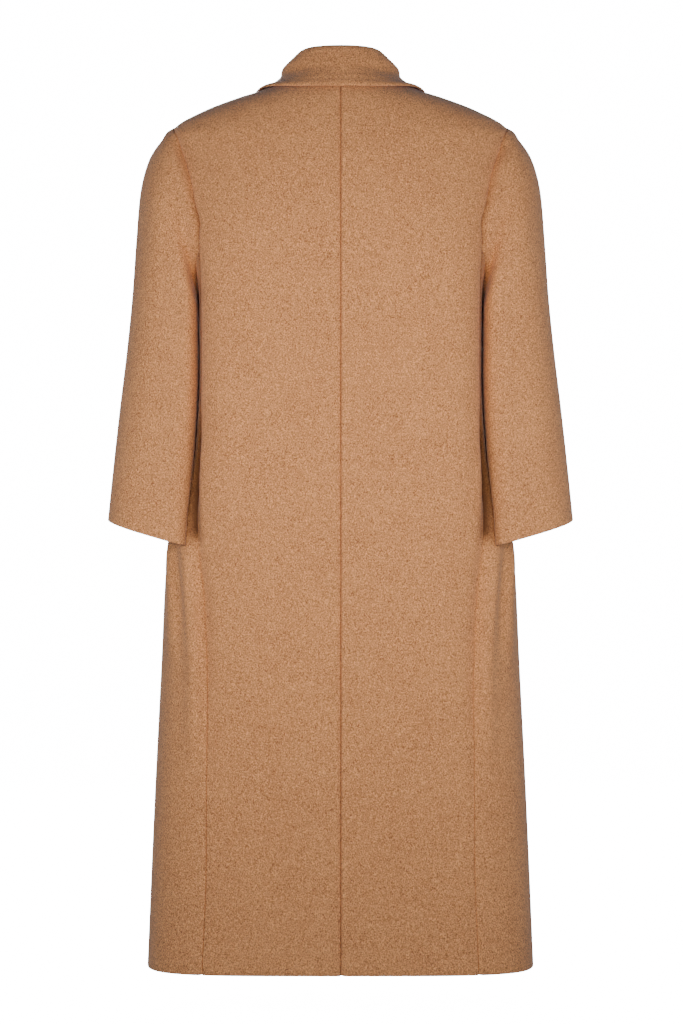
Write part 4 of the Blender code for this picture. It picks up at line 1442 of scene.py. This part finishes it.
@dataclass(frozen=True)
class BrushedWool:
    """Brushed wool coating: felted and raised, so fibres of several shades lie down along the cloth.

    The eye gets a soft matt ground with light and dark flecks a few millimetres long, and a pale bloom where
    the nap is seen along its lie. A painted shade, dark brown, is mixed into the colour in tight folds and
    crevices, standing in for their shadow.
    """

    name: str = "brushed_camel_wool"
    ground: str = "#C48452"
    shade: str = "#BC7D4E"
    light_fibre: str = "#FFB270"
    dark_fibre: str = "#5C3A1E"
    bloom: str = "#E9D8CC"
    # Colour and strength of the painted shade in tight folds and crevices.
    painted_shade: str = "#4A2A14"
    painted_shade_share: float = 0.55
    cloud_mm: float = 60.0
    fleck_mm: float = 1.5
    fibre_mm: float = 0.9
    lie: float = 0.75
    bump_m: float = 0.0006

    def material(self) -> bpy.types.Material:
        """The finish as a material."""
        material, tree, shader = new_material(self.name)
        place = add_node(tree, "ShaderNodeTexCoord").outputs["Object"]
        lie = add_node(tree, "ShaderNodeMapping", inputs={"Vector": place, "Scale": (1.0, 1.0, self.lie)})
        other = add_node(tree, "ShaderNodeMapping",
                         inputs={"Vector": place, "Location": (3.1, 1.7, 5.3), "Scale": (1.0, 1.0, self.lie)})
        cloud = add_node(tree, "ShaderNodeTexNoise", inputs={
            "Vector": place, "Scale": per_mm(self.cloud_mm), "Detail": 3.0, "Roughness": 0.55})
        light = add_node(tree, "ShaderNodeTexNoise", inputs={
            "Vector": lie.outputs["Vector"], "Scale": per_mm(self.fleck_mm),
            "Detail": 3.0, "Roughness": 0.65})
        dark = add_node(tree, "ShaderNodeTexNoise", inputs={
            "Vector": other.outputs["Vector"], "Scale": per_mm(self.fleck_mm),
            "Detail": 3.0, "Roughness": 0.65})
        fibre = add_node(tree, "ShaderNodeTexNoise", inputs={
            "Vector": lie.outputs["Vector"], "Scale": per_mm(self.fibre_mm), "Detail": 2.0, "Roughness": 0.7})
        cloudy = add_node(tree, "ShaderNodeMapRange", inputs={
            "Value": cloud.outputs[0], "From Min": 0.35, "From Max": 0.65, "To Min": 0.0, "To Max": 1.0})
        ground = add_node(tree, "ShaderNodeMix", {"data_type": "RGBA"}, {
            0: cloudy.outputs[0], 6: hex_linear(self.ground), 7: hex_linear(self.shade)})
        lightness = add_node(tree, "ShaderNodeMapRange", inputs={
            "Value": light.outputs[0], "From Min": 0.46, "From Max": 0.66, "To Min": 0.0, "To Max": 1.0})
        with_light = add_node(tree, "ShaderNodeMix", {"data_type": "RGBA"}, {
            0: lightness.outputs[0], 6: ground.outputs[2], 7: hex_linear(self.light_fibre)})
        darkness = add_node(tree, "ShaderNodeMapRange", inputs={
            "Value": dark.outputs[0], "From Min": 0.49, "From Max": 0.69, "To Min": 0.0, "To Max": 0.95})
        with_dark = add_node(tree, "ShaderNodeMix", {"data_type": "RGBA"}, {
            0: darkness.outputs[0], 6: with_light.outputs[2], 7: hex_linear(self.dark_fibre)})
        nap_relief_and_painted_shade = add_node(tree, "ShaderNodeMath", {"operation": "ADD"}, {
            0: fibre.outputs[0], 1: light.outputs[0]})
        bump = add_node(tree, "ShaderNodeBump", inputs={
            "Strength": 0.55, "Distance": self.bump_m, "Height": nap_relief_and_painted_shade.outputs[0]})
        # Painted shade: the point attribute darkens the colour towards dark brown in tight folds and
        # crevices, standing in for their shadow.
        flat = add_node(tree, "ShaderNodeAttribute", {"attribute_name": PAINTED_SHADE})
        painted_shade_amount = add_node(tree, "ShaderNodeMath", {"operation": "MULTIPLY"}, {
            0: flat.outputs["Fac"], 1: self.painted_shade_share})
        colour = add_node(tree, "ShaderNodeMix", {"data_type": "RGBA"}, {
            0: painted_shade_amount.outputs[0], 6: with_dark.outputs[2], 7: hex_linear(self.painted_shade)})
        tree.links.new(colour.outputs[2], shader.inputs["Base Color"])
        tree.links.new(bump.outputs["Normal"], shader.inputs["Normal"])
        shader.inputs["Roughness"].default_value = 0.92
        shader.inputs["Specular IOR Level"].default_value = 0.20
        shader.inputs["Sheen Weight"].default_value = 0.32
        shader.inputs["Sheen Roughness"].default_value = 0.45
        shader.inputs["Sheen Tint"].default_value = hex_linear(self.bloom)
        return material


@dataclass(frozen=True)
class PolishedHorn:
    """Polished horn: turned and buffed, so brown cloudy streaks lie under a soft gloss."""

    name: str = "polished_brown_horn"
    ground: str = "#5A3B26"
    streak: str = "#8A6242"
    streak_mm: float = 6.0

    def material(self) -> bpy.types.Material:
        """The finish as a material."""
        material, tree, shader = new_material(self.name)
        place = add_node(tree, "ShaderNodeTexCoord").outputs["Object"]
        drawn = add_node(tree, "ShaderNodeMapping", inputs={"Vector": place, "Scale": (0.35, 1.0, 1.0)})
        cloud = add_node(tree, "ShaderNodeTexNoise", inputs={
            "Vector": drawn.outputs["Vector"], "Scale": per_mm(self.streak_mm),
            "Detail": 4.0, "Roughness": 0.6,
            "Distortion": 0.8})
        share = add_node(tree, "ShaderNodeMapRange", inputs={
            "Value": cloud.outputs[0], "From Min": 0.40, "From Max": 0.70, "To Min": 0.0, "To Max": 1.0})
        colour = add_node(tree, "ShaderNodeMix", {"data_type": "RGBA"}, {
            0: share.outputs[0], 6: hex_linear(self.ground), 7: hex_linear(self.streak)})
        tree.links.new(colour.outputs[2], shader.inputs["Base Color"])
        shader.inputs["Roughness"].default_value = 0.28
        return material


@dataclass(frozen=True)
class SpunThread:
    """Spun polyester sewing thread: twisted plies, so fine slanting light and dark bands and no gloss."""

    name: str = "camel_spun_thread"
    light: str = "#B5865E"
    dark: str = "#8C6242"
    ply_mm: float = 0.5

    def material(self) -> bpy.types.Material:
        """The finish as a material."""
        material, tree, shader = new_material(self.name)
        place = add_node(tree, "ShaderNodeTexCoord").outputs["Object"]
        ply = add_node(tree, "ShaderNodeTexWave", {"bands_direction": "DIAGONAL"}, {
            "Vector": place, "Scale": per_mm(self.ply_mm) / 20, "Distortion": 0.6, "Detail": 1.0})
        colour = add_node(tree, "ShaderNodeMix", {"data_type": "RGBA"}, {
            0: ply.outputs["Fac"], 6: hex_linear(self.dark), 7: hex_linear(self.light)})
        tree.links.new(colour.outputs[2], shader.inputs["Base Color"])
        shader.inputs["Roughness"].default_value = 0.75
        return material


class NodeTool:
    """A Geometry Nodes tree with named size inputs, run on a path and turned into a plain mesh."""

    def __init__(self, name: str, sizes: Sequence[str]) -> None:
        """Starts the tree with a geometry input, a material input and the named size inputs."""
        self.tree = bpy.data.node_groups.new(name, "GeometryNodeTree")
        self.tree.interface.new_socket("Geometry", in_out="INPUT", socket_type="NodeSocketGeometry")
        for size in sizes:
            self.tree.interface.new_socket(size, in_out="INPUT", socket_type="NodeSocketFloat")
        self.tree.interface.new_socket("Finish", in_out="INPUT", socket_type="NodeSocketMaterial")
        self.tree.interface.new_socket("Geometry", in_out="OUTPUT", socket_type="NodeSocketGeometry")
        self.given = add_node(self.tree, "NodeGroupInput").outputs

    def close(self, geometry: bpy.types.NodeSocket) -> None:
        """Ends the tree: instances are made real and get their finish."""
        real = add_node(self.tree, "GeometryNodeRealizeInstances", inputs={"Geometry": geometry})
        done = add_node(self.tree, "GeometryNodeSetMaterial",
                        inputs={"Geometry": real.outputs[0], "Material": self.given["Finish"]})
        add_node(self.tree, "NodeGroupOutput", inputs={"Geometry": done.outputs[0]})

    def run(self, name: str, path: bpy.types.Mesh, sizes: dict[str, float],
            finish: bpy.types.Material) -> bpy.types.Mesh:
        """Runs the tree on a path.

        Args:
            name: Name of the new mesh.
            path: The path's points and edges.
            sizes: A value for each size input.
            finish: The material.

        Returns:
            A plain mesh.
        """
        carrier = bpy.data.objects.new(f"{name}_path", path)
        bpy.context.scene.collection.objects.link(carrier)
        modifier = carrier.modifiers.new("tool", "NODES")
        modifier.node_group = self.tree
        items = self.tree.interface.items_tree
        keys = {i.name: i.identifier for i in items if i.item_type == "SOCKET" and i.in_out == "INPUT"}
        for size, value in sizes.items():
            modifier[keys[size]] = value
        modifier[keys["Finish"]] = finish
        ready = carrier.evaluated_get(bpy.context.evaluated_depsgraph_get())
        data = bpy.data.meshes.new_from_object(ready)
        data.name = name
        carrier.modifiers.remove(modifier)
        bpy.data.objects.remove(carrier)
        data.polygons.foreach_set("use_smooth", [True] * len(data.polygons))
        return data


class StitchRow(NodeTool):
    """Even stitches laid across a path, each a small rounded bar of thread."""

    def __init__(self) -> None:
        """Builds the tree."""
        super().__init__("stitches_across_path", ("Pitch", "Stitch Length", "Thread Radius"))
        tree = self.tree
        curve = add_node(tree, "GeometryNodeMeshToCurve", inputs={"Mesh": self.given["Geometry"]})
        even = add_node(tree, "GeometryNodeResampleCurve", {"mode": "LENGTH"},
                        {"Curve": curve.outputs[0], "Length": self.given["Pitch"]})
        bar = add_node(tree, "GeometryNodeMeshUVSphere", inputs={"Segments": 6, "Rings": 4, "Radius": 1.0})
        half = add_node(tree, "ShaderNodeMath", {"operation": "MULTIPLY"},
                        {0: self.given["Stitch Length"], 1: 0.5})
        size = add_node(tree, "ShaderNodeCombineXYZ", inputs={
            "X": self.given["Thread Radius"], "Y": half.outputs[0], "Z": self.given["Thread Radius"]})
        stitch = add_node(tree, "GeometryNodeTransform", inputs={"Geometry": bar.outputs["Mesh"],
                                                                 "Scale": size.outputs[0]})
        up = add_node(tree, "GeometryNodeInputNamedAttribute", {"data_type": "FLOAT_VECTOR"}, {"Name": "out"})
        tangent = add_node(tree, "GeometryNodeInputTangent")
        stand = add_node(tree, "FunctionNodeAlignRotationToVector", {"axis": "Z"}, {"Vector": up.outputs[0]})
        turn = add_node(tree, "FunctionNodeAlignRotationToVector", {"axis": "X", "pivot_axis": "Z"},
                        {"Rotation": stand.outputs[0], "Vector": tangent.outputs[0]})
        laid = add_node(tree, "GeometryNodeInstanceOnPoints", inputs={
            "Points": even.outputs[0], "Instance": stitch.outputs[0], "Rotation": turn.outputs[0]})
        self.close(laid.outputs[0])


class ThreadStrand(NodeTool):
    """A round thread that follows each run of a path."""

    def __init__(self) -> None:
        """Builds the tree."""
        super().__init__("thread_along_path", ("Thread Radius",))
        tree = self.tree
        curve = add_node(tree, "GeometryNodeMeshToCurve", inputs={"Mesh": self.given["Geometry"]})
        circle = add_node(tree, "GeometryNodeCurvePrimitiveCircle", inputs={
            "Resolution": 6, "Radius": self.given["Thread Radius"]})
        tube = add_node(tree, "GeometryNodeCurveToMesh", inputs={
            "Curve": curve.outputs[0], "Profile Curve": circle.outputs[0], "Fill Caps": True})
        self.close(tube.outputs[0])


def path_mesh(name: str, runs: Sequence[np.ndarray], out: np.ndarray, closed: bool) -> bpy.types.Mesh:
    """Runs of points joined by edges.

    Args:
        name: Name of the mesh.
        runs: Points of each run.
        out: The direction out of the cloth, kept on each point.
        closed: Whether each run joins up.

    Returns:
        The path.
    """
    points: list[list[float]] = []
    edges: list[tuple[int, int]] = []
    for run in runs:
        first = len(points)
        points += run.tolist()
        edges += [(first + k, first + k + 1) for k in range(len(run) - 1)]
        if closed:
            edges.append((first + len(run) - 1, first))
    data = bpy.data.meshes.new(name)
    data.from_pydata(points, edges, [])
    kept = data.attributes.new("out", "FLOAT_VECTOR", "POINT")
    kept.data.foreach_set("vector", np.tile(out, len(points)))
    return data


@dataclass
class Fastening:
    """A four-hole button sewn through its buttonhole on the right front.

    Attributes:
        number: Which one from the top.
        height: Its height on the centre front.
    """

    number: int
    height: float
    radius: float = 0.0140
    thick: float = 0.0045
    lip: float = 0.0030
    dish: float = 0.0012
    off_cloth: float = 0.0006
    segments: int = 64
    hole_radius: float = 0.0010
    hole_place: float = 0.0024
    thread_radius: float = 0.00028
    strands: int = 3
    slit_start: float = 0.003
    slit_end: float = -0.027
    slit_lip: float = 0.0011
    slit_points: int = 24
    stitch_pitch: float = 0.00075
    stitch_length: float = 0.0022

    def frame_at(self, x: float) -> tuple[np.ndarray, np.ndarray]:
        """Point and outward direction of the right front's face, by distance across from the centre front."""
        share = FORM.share_of_front_x(-x, self.height)
        point = FORM.points(np.array([share]), np.array([self.height]))
        out = FORM.outward(point)[0]
        from_edge = (FORM.front_edge(self.height) - share) * FORM.outline(self.height).girth
        lift = float(FORM.right_front_lift(np.array(from_edge), np.array(self.height)))
        flip = np.array([-1.0, 1.0, 1.0])
        return (point[0] + out * lift) * flip, out * flip

    def axes(self) -> tuple[np.ndarray, np.ndarray, np.ndarray, np.ndarray]:
        """Middle of the button's back, and its across, up and outward directions."""
        place, out = self.frame_at(0.0)
        up = unit(np.array([0.0, 0.0, 1.0]) - out * out[2])
        return place + out * self.off_cloth, np.cross(up, out), up, out

    def build_button(self, finish: bpy.types.Material) -> bpy.types.Object:
        """The button: a turned disc with a round lip, a dished middle and four holes."""
        place, across, up, out = self.axes()
        inside = self.radius - self.lip
        profile = (
            (0.0, 0.0), (self.radius - self.dish, 0.0), (self.radius - 0.3 * self.dish, 0.25 * self.thick),
            (self.radius, 0.5 * self.thick), (self.radius - 0.15 * self.dish, 0.80 * self.thick),
            (self.radius - 0.6 * self.dish, 0.96 * self.thick), (self.radius - 0.5 * self.lip, self.thick),
            (inside + 0.3 * self.dish, 0.97 * self.thick),
            (inside - 0.2 * self.dish, self.thick - 0.6 * self.dish),
            (inside - self.dish, self.thick - self.dish), (0.0, self.thick - self.dish),
        )
        turned = bmesh.new()
        rings = []
        for radius, high in profile:
            if radius == 0.0:
                rings.append([turned.verts.new((0, 0, high))] * self.segments)
                continue
            turns = [2 * math.pi * n / self.segments for n in range(self.segments)]
            round_it = [(radius * math.cos(t), radius * math.sin(t), high) for t in turns]
            rings.append([turned.verts.new(spot) for spot in round_it])
        for low, high in zip(rings, rings[1:]):
            for n in range(self.segments):
                m = (n + 1) % self.segments
                corners = list(dict.fromkeys((low[n], low[m], high[m], high[n])))
                turned.faces.new(corners)
        bmesh.ops.recalc_face_normals(turned, faces=turned.faces)
        disc = self.scratch_object("button_disc", turned)
        drills = bmesh.new()
        for sx, sy in ((1, 1), (1, -1), (-1, -1), (-1, 1)):
            at = Vector((sx * self.hole_place, sy * self.hole_place, self.thick / 2))
            made = bmesh.ops.create_cone(drills, cap_ends=True, segments=16, radius1=self.hole_radius,
                                         radius2=self.hole_radius, depth=3 * self.thick)
            bmesh.ops.translate(drills, verts=made["verts"], vec=at)
        drill = self.scratch_object("button_drill", drills)
        cut = disc.modifiers.new("holes", "BOOLEAN")
        cut.object = drill
        cut.operation = "DIFFERENCE"
        cut.solver = "EXACT"
        data = bpy.data.meshes.new_from_object(disc.evaluated_get(bpy.context.evaluated_depsgraph_get()))
        disc.modifiers.remove(cut)
        bpy.data.objects.remove(disc)
        bpy.data.objects.remove(drill)
        spots = np.zeros(len(data.vertices) * 3)
        data.vertices.foreach_get("co", spots)
        spots = spots.reshape(-1, 3)
        placed = place + spots[:, :1] * across + spots[:, 1:2] * up + spots[:, 2:] * out
        data.vertices.foreach_set("co", placed.ravel())
        data.polygons.foreach_set("use_smooth", [True] * len(data.polygons))
        data.set_sharp_from_angle(angle=math.radians(40))
        data.update()
        piece = place_piece(f"button_{self.number}_horn", data, finish)
        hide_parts(f"button_{self.number}")
        return piece

    @staticmethod
    def scratch_object(name: str, shape: bmesh.types.BMesh) -> bpy.types.Object:
        """An object for a short-lived shape."""
        data = bpy.data.meshes.new(name)
        shape.to_mesh(data)
        shape.free()
        thing = bpy.data.objects.new(name, data)
        bpy.context.scene.collection.objects.link(thing)
        return thing

    def build_thread(self, tool: ThreadStrand, finish: bpy.types.Material) -> bpy.types.Object:
        """The thread that crosses the button from hole to hole, in two bars."""
        place, across, up, out = self.axes()
        face = self.thick - self.dish
        runs = []
        for bar in (-1, 1):
            for k in range(self.strands):
                shift = (k - (self.strands - 1) / 2) * 2 * self.thread_radius
                high = face + self.thread_radius * (1.2 + 0.8 * (k == self.strands // 2))
                spots = ((-1.0, -0.5 * self.thick), (-1.0, face - self.thread_radius),
                         (-0.72, high), (0.0, high),
                         (0.72, high), (1.0, face - self.thread_radius), (1.0, -0.5 * self.thick))
                runs.append(np.array([
                    place + across * (bar * self.hole_place + shift) + up * (s * self.hole_place)
                    + out * max(h, 0.1 * MM) for s, h in spots]))
        name = f"button_{self.number}_thread"
        sizes = {"Thread Radius": self.thread_radius}
        data = tool.run(name, path_mesh(f"{name}_run", runs, out, False), sizes, finish)
        return place_piece(name, data, finish)

    def build_hole(self, tool: StitchRow, finish: bpy.types.Material) -> bpy.types.Object:
        """The stitched lips of the buttonhole, round its slit."""
        _, _, up, out = self.axes()
        turn = np.linspace(0, 2 * math.pi, 2 * self.slit_points, endpoint=False)
        middle = (self.slit_start + self.slit_end) / 2
        reach = (self.slit_start - self.slit_end) / 2
        run = []
        for t in turn:
            x = middle + reach * np.sign(math.cos(t)) * abs(math.cos(t)) ** 0.35
            point, direction = self.frame_at(float(x))
            run.append(point + up * self.slit_lip * np.sign(math.sin(t)) * abs(math.sin(t)) ** 0.6
                       + direction * 0.2 * MM)
        name = f"buttonhole_{self.number}"
        sizes = {"Pitch": self.stitch_pitch, "Stitch Length": self.stitch_length,
                 "Thread Radius": 1.4 * self.thread_radius}
        data = tool.run(name, path_mesh(f"{name}_run", [np.array(run)], out, True), sizes, finish)
        return place_piece(name, data, finish)


@dataclass
class Studio:
    """The plain pale floor, the soft studio light and the camera at the photograph's angle."""

    floor_drop: float = 0.060
    floor_half: float = 14.0
    sweep_start: float = 4.5
    sweep_bend: float = 3.0
    sweep_steps: int = 24
    floor_colour: str = "#F7F5F2"
    floor_glow: float = 16.0
    room_light: float = 0.22
    room_white: float = 16.0
    white_light: str = "#FFFFFF"
    warm_light: str = "#FFF4E6"
    cool_light: str = "#D6E4FF"
    room_colour: str = "#B4D0FF"
    camera_place: tuple[float, float, float] = (0.0, 4.2, -0.588)
    lens: float = 107.8
    sensor: float = 36.0
    image_height: int = 1024
    shift_pixels: float = 1.0

    def build_floor(self) -> None:
        """A wide pale floor, glowing evenly, that sweeps up far behind the coat."""
        material, _, shader = new_material("pale_studio_floor")
        shader.inputs["Base Color"].default_value = hex_linear(self.floor_colour)
        shader.inputs["Roughness"].default_value = 0.9
        shader.inputs["Emission Color"].default_value = hex_linear(self.white_light)
        shader.inputs["Emission Strength"].default_value = self.floor_glow
        z = LINES.hem - self.floor_drop
        bend = [math.pi / 2 * n / self.sweep_steps for n in range(self.sweep_steps + 1)]
        profile = [(self.floor_half, z)]
        profile += [(-self.sweep_start - self.sweep_bend * math.sin(t),
                     z + self.sweep_bend * (1 - math.cos(t))) for t in bend]
        profile.append((profile[-1][0], z + self.floor_half))
        points = [(side * self.floor_half, y, h) for y, h in profile for side in (-1, 1)]
        faces = [(2 * n, 2 * n + 1, 2 * n + 3, 2 * n + 2) for n in range(len(profile) - 1)]
        data = bpy.data.meshes.new("studio_floor")
        data.from_pydata(points, [], faces)
        data.shade_smooth()
        data.materials.append(material)
        floor = bpy.data.objects.new("studio_floor", data)
        bpy.context.scene.collection.objects.link(floor)
        floor.visible_diffuse = False
        floor.visible_glossy = False

    def build_light(self) -> None:
        """A soft white room that looks white, and large soft lamps."""
        world = bpy.data.worlds.new("studio_room")
        bpy.context.scene.world = world
        world.use_nodes = True
        tree = world.node_tree
        tree.nodes.clear()
        seen = add_node(tree, "ShaderNodeLightPath").outputs["Is Camera Ray"]
        soft = add_node(tree, "ShaderNodeBackground", inputs={"Strength": self.room_light})
        white = add_node(tree, "ShaderNodeBackground", inputs={"Strength": self.room_white})
        soft.inputs["Color"].default_value = hex_linear(self.room_colour)
        white.inputs["Color"].default_value = hex_linear(self.white_light)
        both = add_node(tree, "ShaderNodeMixShader", inputs={
            0: seen, 1: soft.outputs[0], 2: white.outputs[0]})
        add_node(tree, "ShaderNodeOutputWorld", inputs={"Surface": both.outputs[0]})
        lamps = (
            ("back_lamp", (0.0, 1.10, -0.42), (0.0, 0.0, -0.42), (1.9, 0.35), 13.8, self.warm_light),
            ("left_lamp", (1.7, 1.3, -0.45), (0.2, 0.0, -0.50), (0.9, 0.9), 15.0, self.cool_light),
            ("right_lamp", (-1.7, 1.3, -0.45), (-0.2, 0.0, -0.50), (0.9, 0.9), 15.0, self.cool_light),
            ("front_lamp", (0.35, -2.8, 0.5), (0.0, 0.0, -0.50), (1.2, 1.2), 115.0, self.white_light),
        )
        for name, place, aim, (wide, high), watts, colour in lamps:
            lamp = bpy.data.lights.new(name, "AREA")
            lamp.shape = "ELLIPSE"
            lamp.size = wide
            lamp.size_y = high
            lamp.energy = watts
            lamp.color = hex_linear(colour)[:3]
            thing = bpy.data.objects.new(name, lamp)
            thing.location = place
            thing.rotation_euler = (Vector(aim) - Vector(place)).to_track_quat("-Z", "Y").to_euler()
            thing.visible_camera = False
            bpy.context.scene.collection.objects.link(thing)

    def build_camera(self) -> None:
        """The camera, level and square to the back of the coat."""
        data = bpy.data.cameras.new("photo_camera")
        data.sensor_fit = "VERTICAL"
        data.sensor_height = self.sensor
        data.lens = self.lens
        data.shift_x = self.shift_pixels / self.image_height
        camera = bpy.data.objects.new("photo_camera", data)
        camera.location = self.camera_place
        camera.rotation_euler = (math.pi / 2, 0.0, math.pi)
        bpy.context.scene.collection.objects.link(camera)
        bpy.context.scene.camera = camera


BACK_CREASES = (
    Crease((0.150, -0.400), (0.165, -0.680), 0.030, 0.0028, 0.45),
    Crease((0.104, -0.355), (0.107, -0.640), 0.0045, -0.0005, 0.40),
    Crease((0.098, -0.355), (0.101, -0.640), 0.0060, 0.0005, 0.40),
)
BACK_LEFT_CREASES = BACK_CREASES + (
    Crease((0.0060, -0.030), (0.0060, -1.180), 0.0045, 0.0005, 0.05),
    Crease((0.080, -0.760), (0.060, -1.150), 0.040, 0.0012, 0.45),
)
BACK_RIGHT_CREASES = BACK_CREASES + (
    Crease((0.095, -0.720), (0.110, -1.120), 0.042, 0.0012, 0.45),
)
SIDE_CREASES = (
    Crease((0.018, -0.590), (0.015, -0.880), 0.011, 0.0030, 0.35),
    Crease((0.041, -0.590), (0.036, -0.800), 0.013, -0.0034, 0.40),
    Crease((0.062, -0.590), (0.050, -0.760), 0.014, 0.0024, 0.40),
)
FRONT_LEFT_CREASES = (
    Crease((0.205, -0.480), (0.230, -1.120), 0.034, 0.0040, 0.35),
    Crease((0.160, -0.640), (0.175, -1.150), 0.026, -0.0022, 0.40),
)
FRONT_RIGHT_CREASES = (
    Crease((0.215, -0.500), (0.240, -1.140), 0.034, 0.0040, 0.35),
    Crease((0.150, -0.600), (0.170, -1.140), 0.030, 0.0020, 0.40),
    Crease((0.060, -0.400), (0.150, -0.330), 0.018, 0.0012, 0.40),
)
SLEEVE_LEFT_CREASES = (
    SleeveCrease(Facing.BACK, Crease((0.312, -0.580), (0.238, -0.545), 0.016, -0.0020, 0.40)),
    SleeveCrease(Facing.BACK, Crease((0.226, -0.420), (0.222, -0.615), 0.020, 0.0022, 0.40)),
    SleeveCrease(Facing.BACK, Crease((0.262, -0.120), (0.268, -0.270), 0.017, -0.0014, 0.45)),
    SleeveCrease(Facing.BACK, Crease((0.290, -0.330), (0.235, -0.385), 0.016, -0.0012, 0.45)),
    SleeveCrease(Facing.FRONT, Crease((0.215, -0.340), (0.285, -0.385), 0.015, -0.0026, 0.40)),
    SleeveCrease(Facing.FRONT, Crease((0.215, -0.390), (0.280, -0.420), 0.016, 0.0024, 0.40)),
    SleeveCrease(Facing.FRONT, Crease((0.225, -0.455), (0.300, -0.500), 0.016, -0.0020, 0.40)),
)
SLEEVE_RIGHT_CREASES = (
    SleeveCrease(Facing.BACK, Crease((0.310, -0.565), (0.236, -0.540), 0.017, -0.0018, 0.40)),
    SleeveCrease(Facing.BACK, Crease((0.228, -0.430), (0.222, -0.615), 0.020, 0.0022, 0.40)),
    SleeveCrease(Facing.BACK, Crease((0.260, -0.125), (0.266, -0.280), 0.017, -0.0014, 0.45)),
    SleeveCrease(Facing.BACK, Crease((0.292, -0.350), (0.236, -0.400), 0.015, -0.0012, 0.45)),
    SleeveCrease(Facing.FRONT, Crease((0.215, -0.350), (0.285, -0.395), 0.015, -0.0024, 0.40)),
    SleeveCrease(Facing.FRONT, Crease((0.215, -0.400), (0.280, -0.430), 0.016, 0.0022, 0.40)),
    SleeveCrease(Facing.FRONT, Crease((0.225, -0.470), (0.300, -0.510), 0.016, -0.0018, 0.40)),
)
BUTTON_HEIGHTS = (-0.385, -0.540, -0.695)


class Coat:
    """The whole coat: its cut pieces and its fastenings."""

    def __init__(self) -> None:
        """Lists the pieces in the order that they are made."""
        self.pieces: list[ClothPiece] = [
            BackPanel("back_left", Side.LEFT, (0.27, 1.26), 0.242, ("collar",), creases=BACK_LEFT_CREASES),
            BackPanel("back_right", Side.RIGHT, (0.28, 1.26), 0.255, ("collar",), creases=BACK_RIGHT_CREASES),
            SidePanel("side_left", Side.LEFT, (0.27, 0.97), 0.217, ("back_left", "front_left"),
                      creases=SIDE_CREASES),
            SidePanel("side_right", Side.RIGHT, (0.27, 0.97), 0.217, ("back_right", "front_right"),
                      creases=SIDE_CREASES),
            FrontPanel("front_left", Side.LEFT, (0.35, 1.26), 0.344, ("back_left",),
                       creases=FRONT_LEFT_CREASES),
            FrontPanel("front_right", Side.RIGHT, (0.35, 1.26), 0.346, ("back_right",),
                       creases=FRONT_RIGHT_CREASES),
            Sleeve("sleeve_left", Side.LEFT, (0.46, 0.57), 0.200, ("back_left", "front_left"),
                   sleeve_creases=SLEEVE_LEFT_CREASES),
            Sleeve("sleeve_right", Side.RIGHT, (0.46, 0.57), 0.200, ("back_right", "front_right"),
                   sleeve_creases=SLEEVE_RIGHT_CREASES),
            Collar("collar", Side.LEFT, (0.57, 0.11), 0.050, ("back_left", "back_right"), held=Hold.FOLDED),
            Lapel("lapel_left", Side.LEFT, (0.12, 0.32), 0.022, ("front_left",), held=Hold.FOLDED),
            Lapel("lapel_right", Side.RIGHT, (0.12, 0.32), 0.022, ("front_right",), held=Hold.FOLDED),
        ]
        self.fastenings = [Fastening(n, z) for n, z in enumerate(BUTTON_HEIGHTS, start=1)]

    def build(self) -> None:
        """Makes every piece and the fastenings."""
        wool = BrushedWool().material()
        horn = PolishedHorn().material()
        thread = SpunThread().material()
        stitches = StitchRow()
        strand = ThreadStrand()
        made = {piece.name: piece.build(wool) for piece in self.pieces}
        holes = []
        for fastening in self.fastenings:
            fastening.build_button(horn)
            fastening.build_thread(strand, thread)
            holes.append(fastening.build_hole(stitches, thread))
        for piece in self.pieces:
            piece.declare(made[piece.name], holes if piece.name == "front_right" else ())


def main() -> None:
    """Builds the studio and the coat."""
    logging.basicConfig(level=logging.INFO, format="%(name)s: %(message)s")
    studio = Studio()
    studio.build_camera()
    studio.build_floor()
    studio.build_light()
    Coat().build()


if __name__ == "__main__":
    main()
